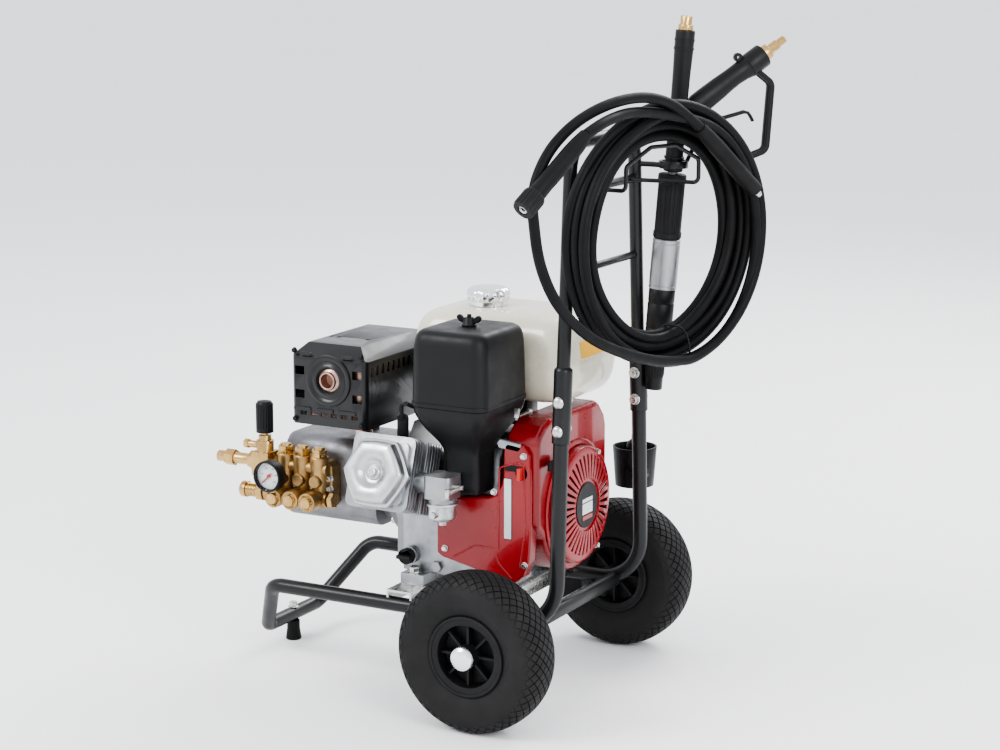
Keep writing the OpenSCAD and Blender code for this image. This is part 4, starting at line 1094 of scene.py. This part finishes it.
# ---------- pump: forged manifold ----------
MAN_Y = -98
CAPS = [-329 + 34 * i for i in range(3)]


def forged(name, profile, place, axis, steps=48, material=None):
    return finish_piece(lathe(name, [(r / 1000, h / 1000) for r, h in profile], place, axis, steps),
                        material or brass_cast, slot="brass")


back_plate = prism("manifold_plate", metres([(-350, 284), (-342, 276), (-248, 276), (-240, 284),
    (-240, 350), (-248, 358), (-342, 358), (-350, 350)]), at(0, -66, 0), (1, 0, 0), (0, 0, 1), (0, -1, 0),
    0.026)
finish_piece(back_plate, brass_cast, bevel=0.003, segments=3, slot="brass")
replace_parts(back_plate, "pump_manifold")
for i, x in enumerate(CAPS):
    forged(f"valve_column_{i}", [(0, 280), (12, 280), (14, 284), (14, 322), (15.5, 330), (15.5, 344),
        (16.5, 350), (16.5, 366), (15.5, 367.4), (0, 367.4)], at(x, MAN_Y, 0), (0, 0, 1))
    forged(f"valve_boss_{i}", [(0, 0), (15, 0), (15, 30), (16.5, 34), (16.5, 57), (15.8, 58), (0, 58)],
           at(x, -84, 296), (0, -1, 0))
    forged(f"valve_web_{i}", [(0, 0), (11, 0), (11, 26), (9.5, 28), (0, 28)], at(x, -90, 326), (0, -1, 0), 40)
gallery = [(0, 0), (13, 0), (13, 108), (0, 108)]
forged("gallery_low", gallery, at(-351, -100, 294), (1, 0, 0))
forged("gallery_high", [(0, 0), (11.5, 0), (11.5, 108), (0, 108)], at(-351, -98, 346), (1, 0, 0))
for i, x in enumerate((-346, -312, -278, -244)):
    for z in (312, 330):
        bolt(f"manifold_bolt_{i}_{z}", at(x, -92, z), (0, -1, 0), 9, material=zinc, socket=True)
forged("suction_neck", [(0, 0), (17, 0), (17, 3), (14.5, 5), (14.5, 17), (12, 20), (12, 22)],
       at(-351, -100, 294), (-1, 0, 0))
forged("suction_hex", [(0, 0), (17.6, 0), (17.6, 12), (16.4, 13), (0, 13)], at(-371, -100, 294), (-1, 0, 0),
    6, brass)
threads = [(0, 0)]
for k in range(8):
    threads += [(11.2, k * 3.0), (12, k * 3.0 + 0.9), (12, k * 3.0 + 1.6), (11.2, k * 3.0 + 2.6)]
forged("suction_thread", threads + [(0, 24.2)], at(-384, -100, 294), (-1, 0, 0), 48, brass)
forged("suction_coupling", [(0, 0), (13.4, 0), (14, 0.8), (14, 9), (13.2, 10.5), (9, 10.5), (8, 4), (0, 4)],
       at(-407.5, -100, 294), (-1, 0, 0), 48, brass)
forged("suction_plug", [(0, 0), (13.8, 0), (13.8, 8), (12.8, 9), (0, 9)], at(-239, -100, 294), (1, 0, 0), 6,
    brass)
forged("gauge_neck", [(0, 0), (8, 0), (8, 12), (7, 13), (7, 17), (0, 17)], at(-327, -122, 338), (0, -1, 0),
    32, brass)

# strap round the lowest part of the coil, a loop with blunt corners
STRAP_HALF = 31


def squared(value):
    return math.copysign(abs(value) ** 0.7, value)


band = []
for k in range(33):
    a = 2 * math.pi * k / 32
    u, v = STRAP_HALF * squared(math.cos(a)), STRAP_HALF * squared(math.sin(a))
    t = math.radians(-79)
    radius = (COIL_R * 1000 + v) / 1000
    band.append(on_coil(radius * math.cos(t), u / 1000, radius * math.sin(t)))
tube("coil_strap", band, 0.0032, plastic_soft, smooth_curve=False, resolution=4, slot="rubber")

# suction tube from the strainer up to the sleeve
tube("strainer_tube", rounded([at(190, 200, 394), at(190, 200, 440), at(207, side_y(520) + 10, 516),
                               at(217, side_y(545), 545)], 0.024), 0.006, clear_tube, smooth_curve=False,
     resolution=5, slot="rubber")

# ---------- the remaining solids keep their shape and get small edge radii ----------
for node, width in {
    "rear_cross_tube": 0.0005, "engine_plates": 0.0008, "handle_cross_bars": 0.0006, "lance_ring": 0.0008,
    "axle_lugs": 0.0012, "strainer_cup": 0.0008, "detergent_strainer": 0.0008, "crankcase": 0.0025,
    "oil_cap": 0.0012, "barrel": 0.0008, "cylinder_head": 0.0008, "plug_cap": 0.0008, "muffler": 0.001,
    "heat_shield": 0.0018, "carburettor": 0.0015, "float_bowl": 0.0008, "tank_brackets": 0.001,
    "starter_grip": 0.003, "throttle_lever": 0.0004, "choke_lever": 0.0008,
    "engine_switch": 0.0008, "pump_body": 0.002, "pump_caps": 0.0008,
    "unloader": 0.0008, "unloader_knob": 0.0006, "gauge_needle": 0.0002, "lance_collar": 0.0008,
    "lance_nozzle": 0.0012, "spray_fittings": 0.0006,
}.items():
    refine(node, width)

# ---------- light and floor ----------
world = bpy.data.worlds.new("studio")
scene.world = world
world.use_nodes = True
world.node_tree.nodes["Background"].inputs["Color"].default_value = (0.93, 0.95, 1.0, 1)
world.node_tree.nodes["Background"].inputs["Strength"].default_value = 1.4


def area_light(name, place, target, size, power, colour=(1, 1, 1)):
    light = bpy.data.lights.new(name, "AREA")
    light.shape = "RECTANGLE"
    light.size, light.size_y = size
    light.energy = power
    light.color = colour
    obj = collection_link(bpy.data.objects.new(name, light))
    obj.location = place
    obj.rotation_euler = (Vector(target) - Vector(place)).to_track_quat("-Z", "Y").to_euler()
    return obj


area_light("key", (-2.4, -3.2, 3.4), (0, 0, 0.5), (2.2, 1.6), 150)
area_light("fill", (3.6, -2.2, 2.4), (0, 0, 0.5), (1.8, 2.2), 110)
area_light("rim", (0.6, 3.4, 3.2), (0, 0, 0.5), (3.0, 1.4), 120)

floor = mesh_object("floor", [(-45, -45, 0), (45, -45, 0), (45, 45, 0), (-45, 45, 0)], [(0, 1, 2, 3)], False)
floor_shader = Shader("floor_white", (0.9, 0.9, 0.9), 0.75)
floor_shader.colour(floor_shader.noise(0.6, 3), [(0.3, (0.93, 0.93, 0.93)), (0.7, (0.95, 0.95, 0.95))])
floor.data.materials.append(floor_shader.material)
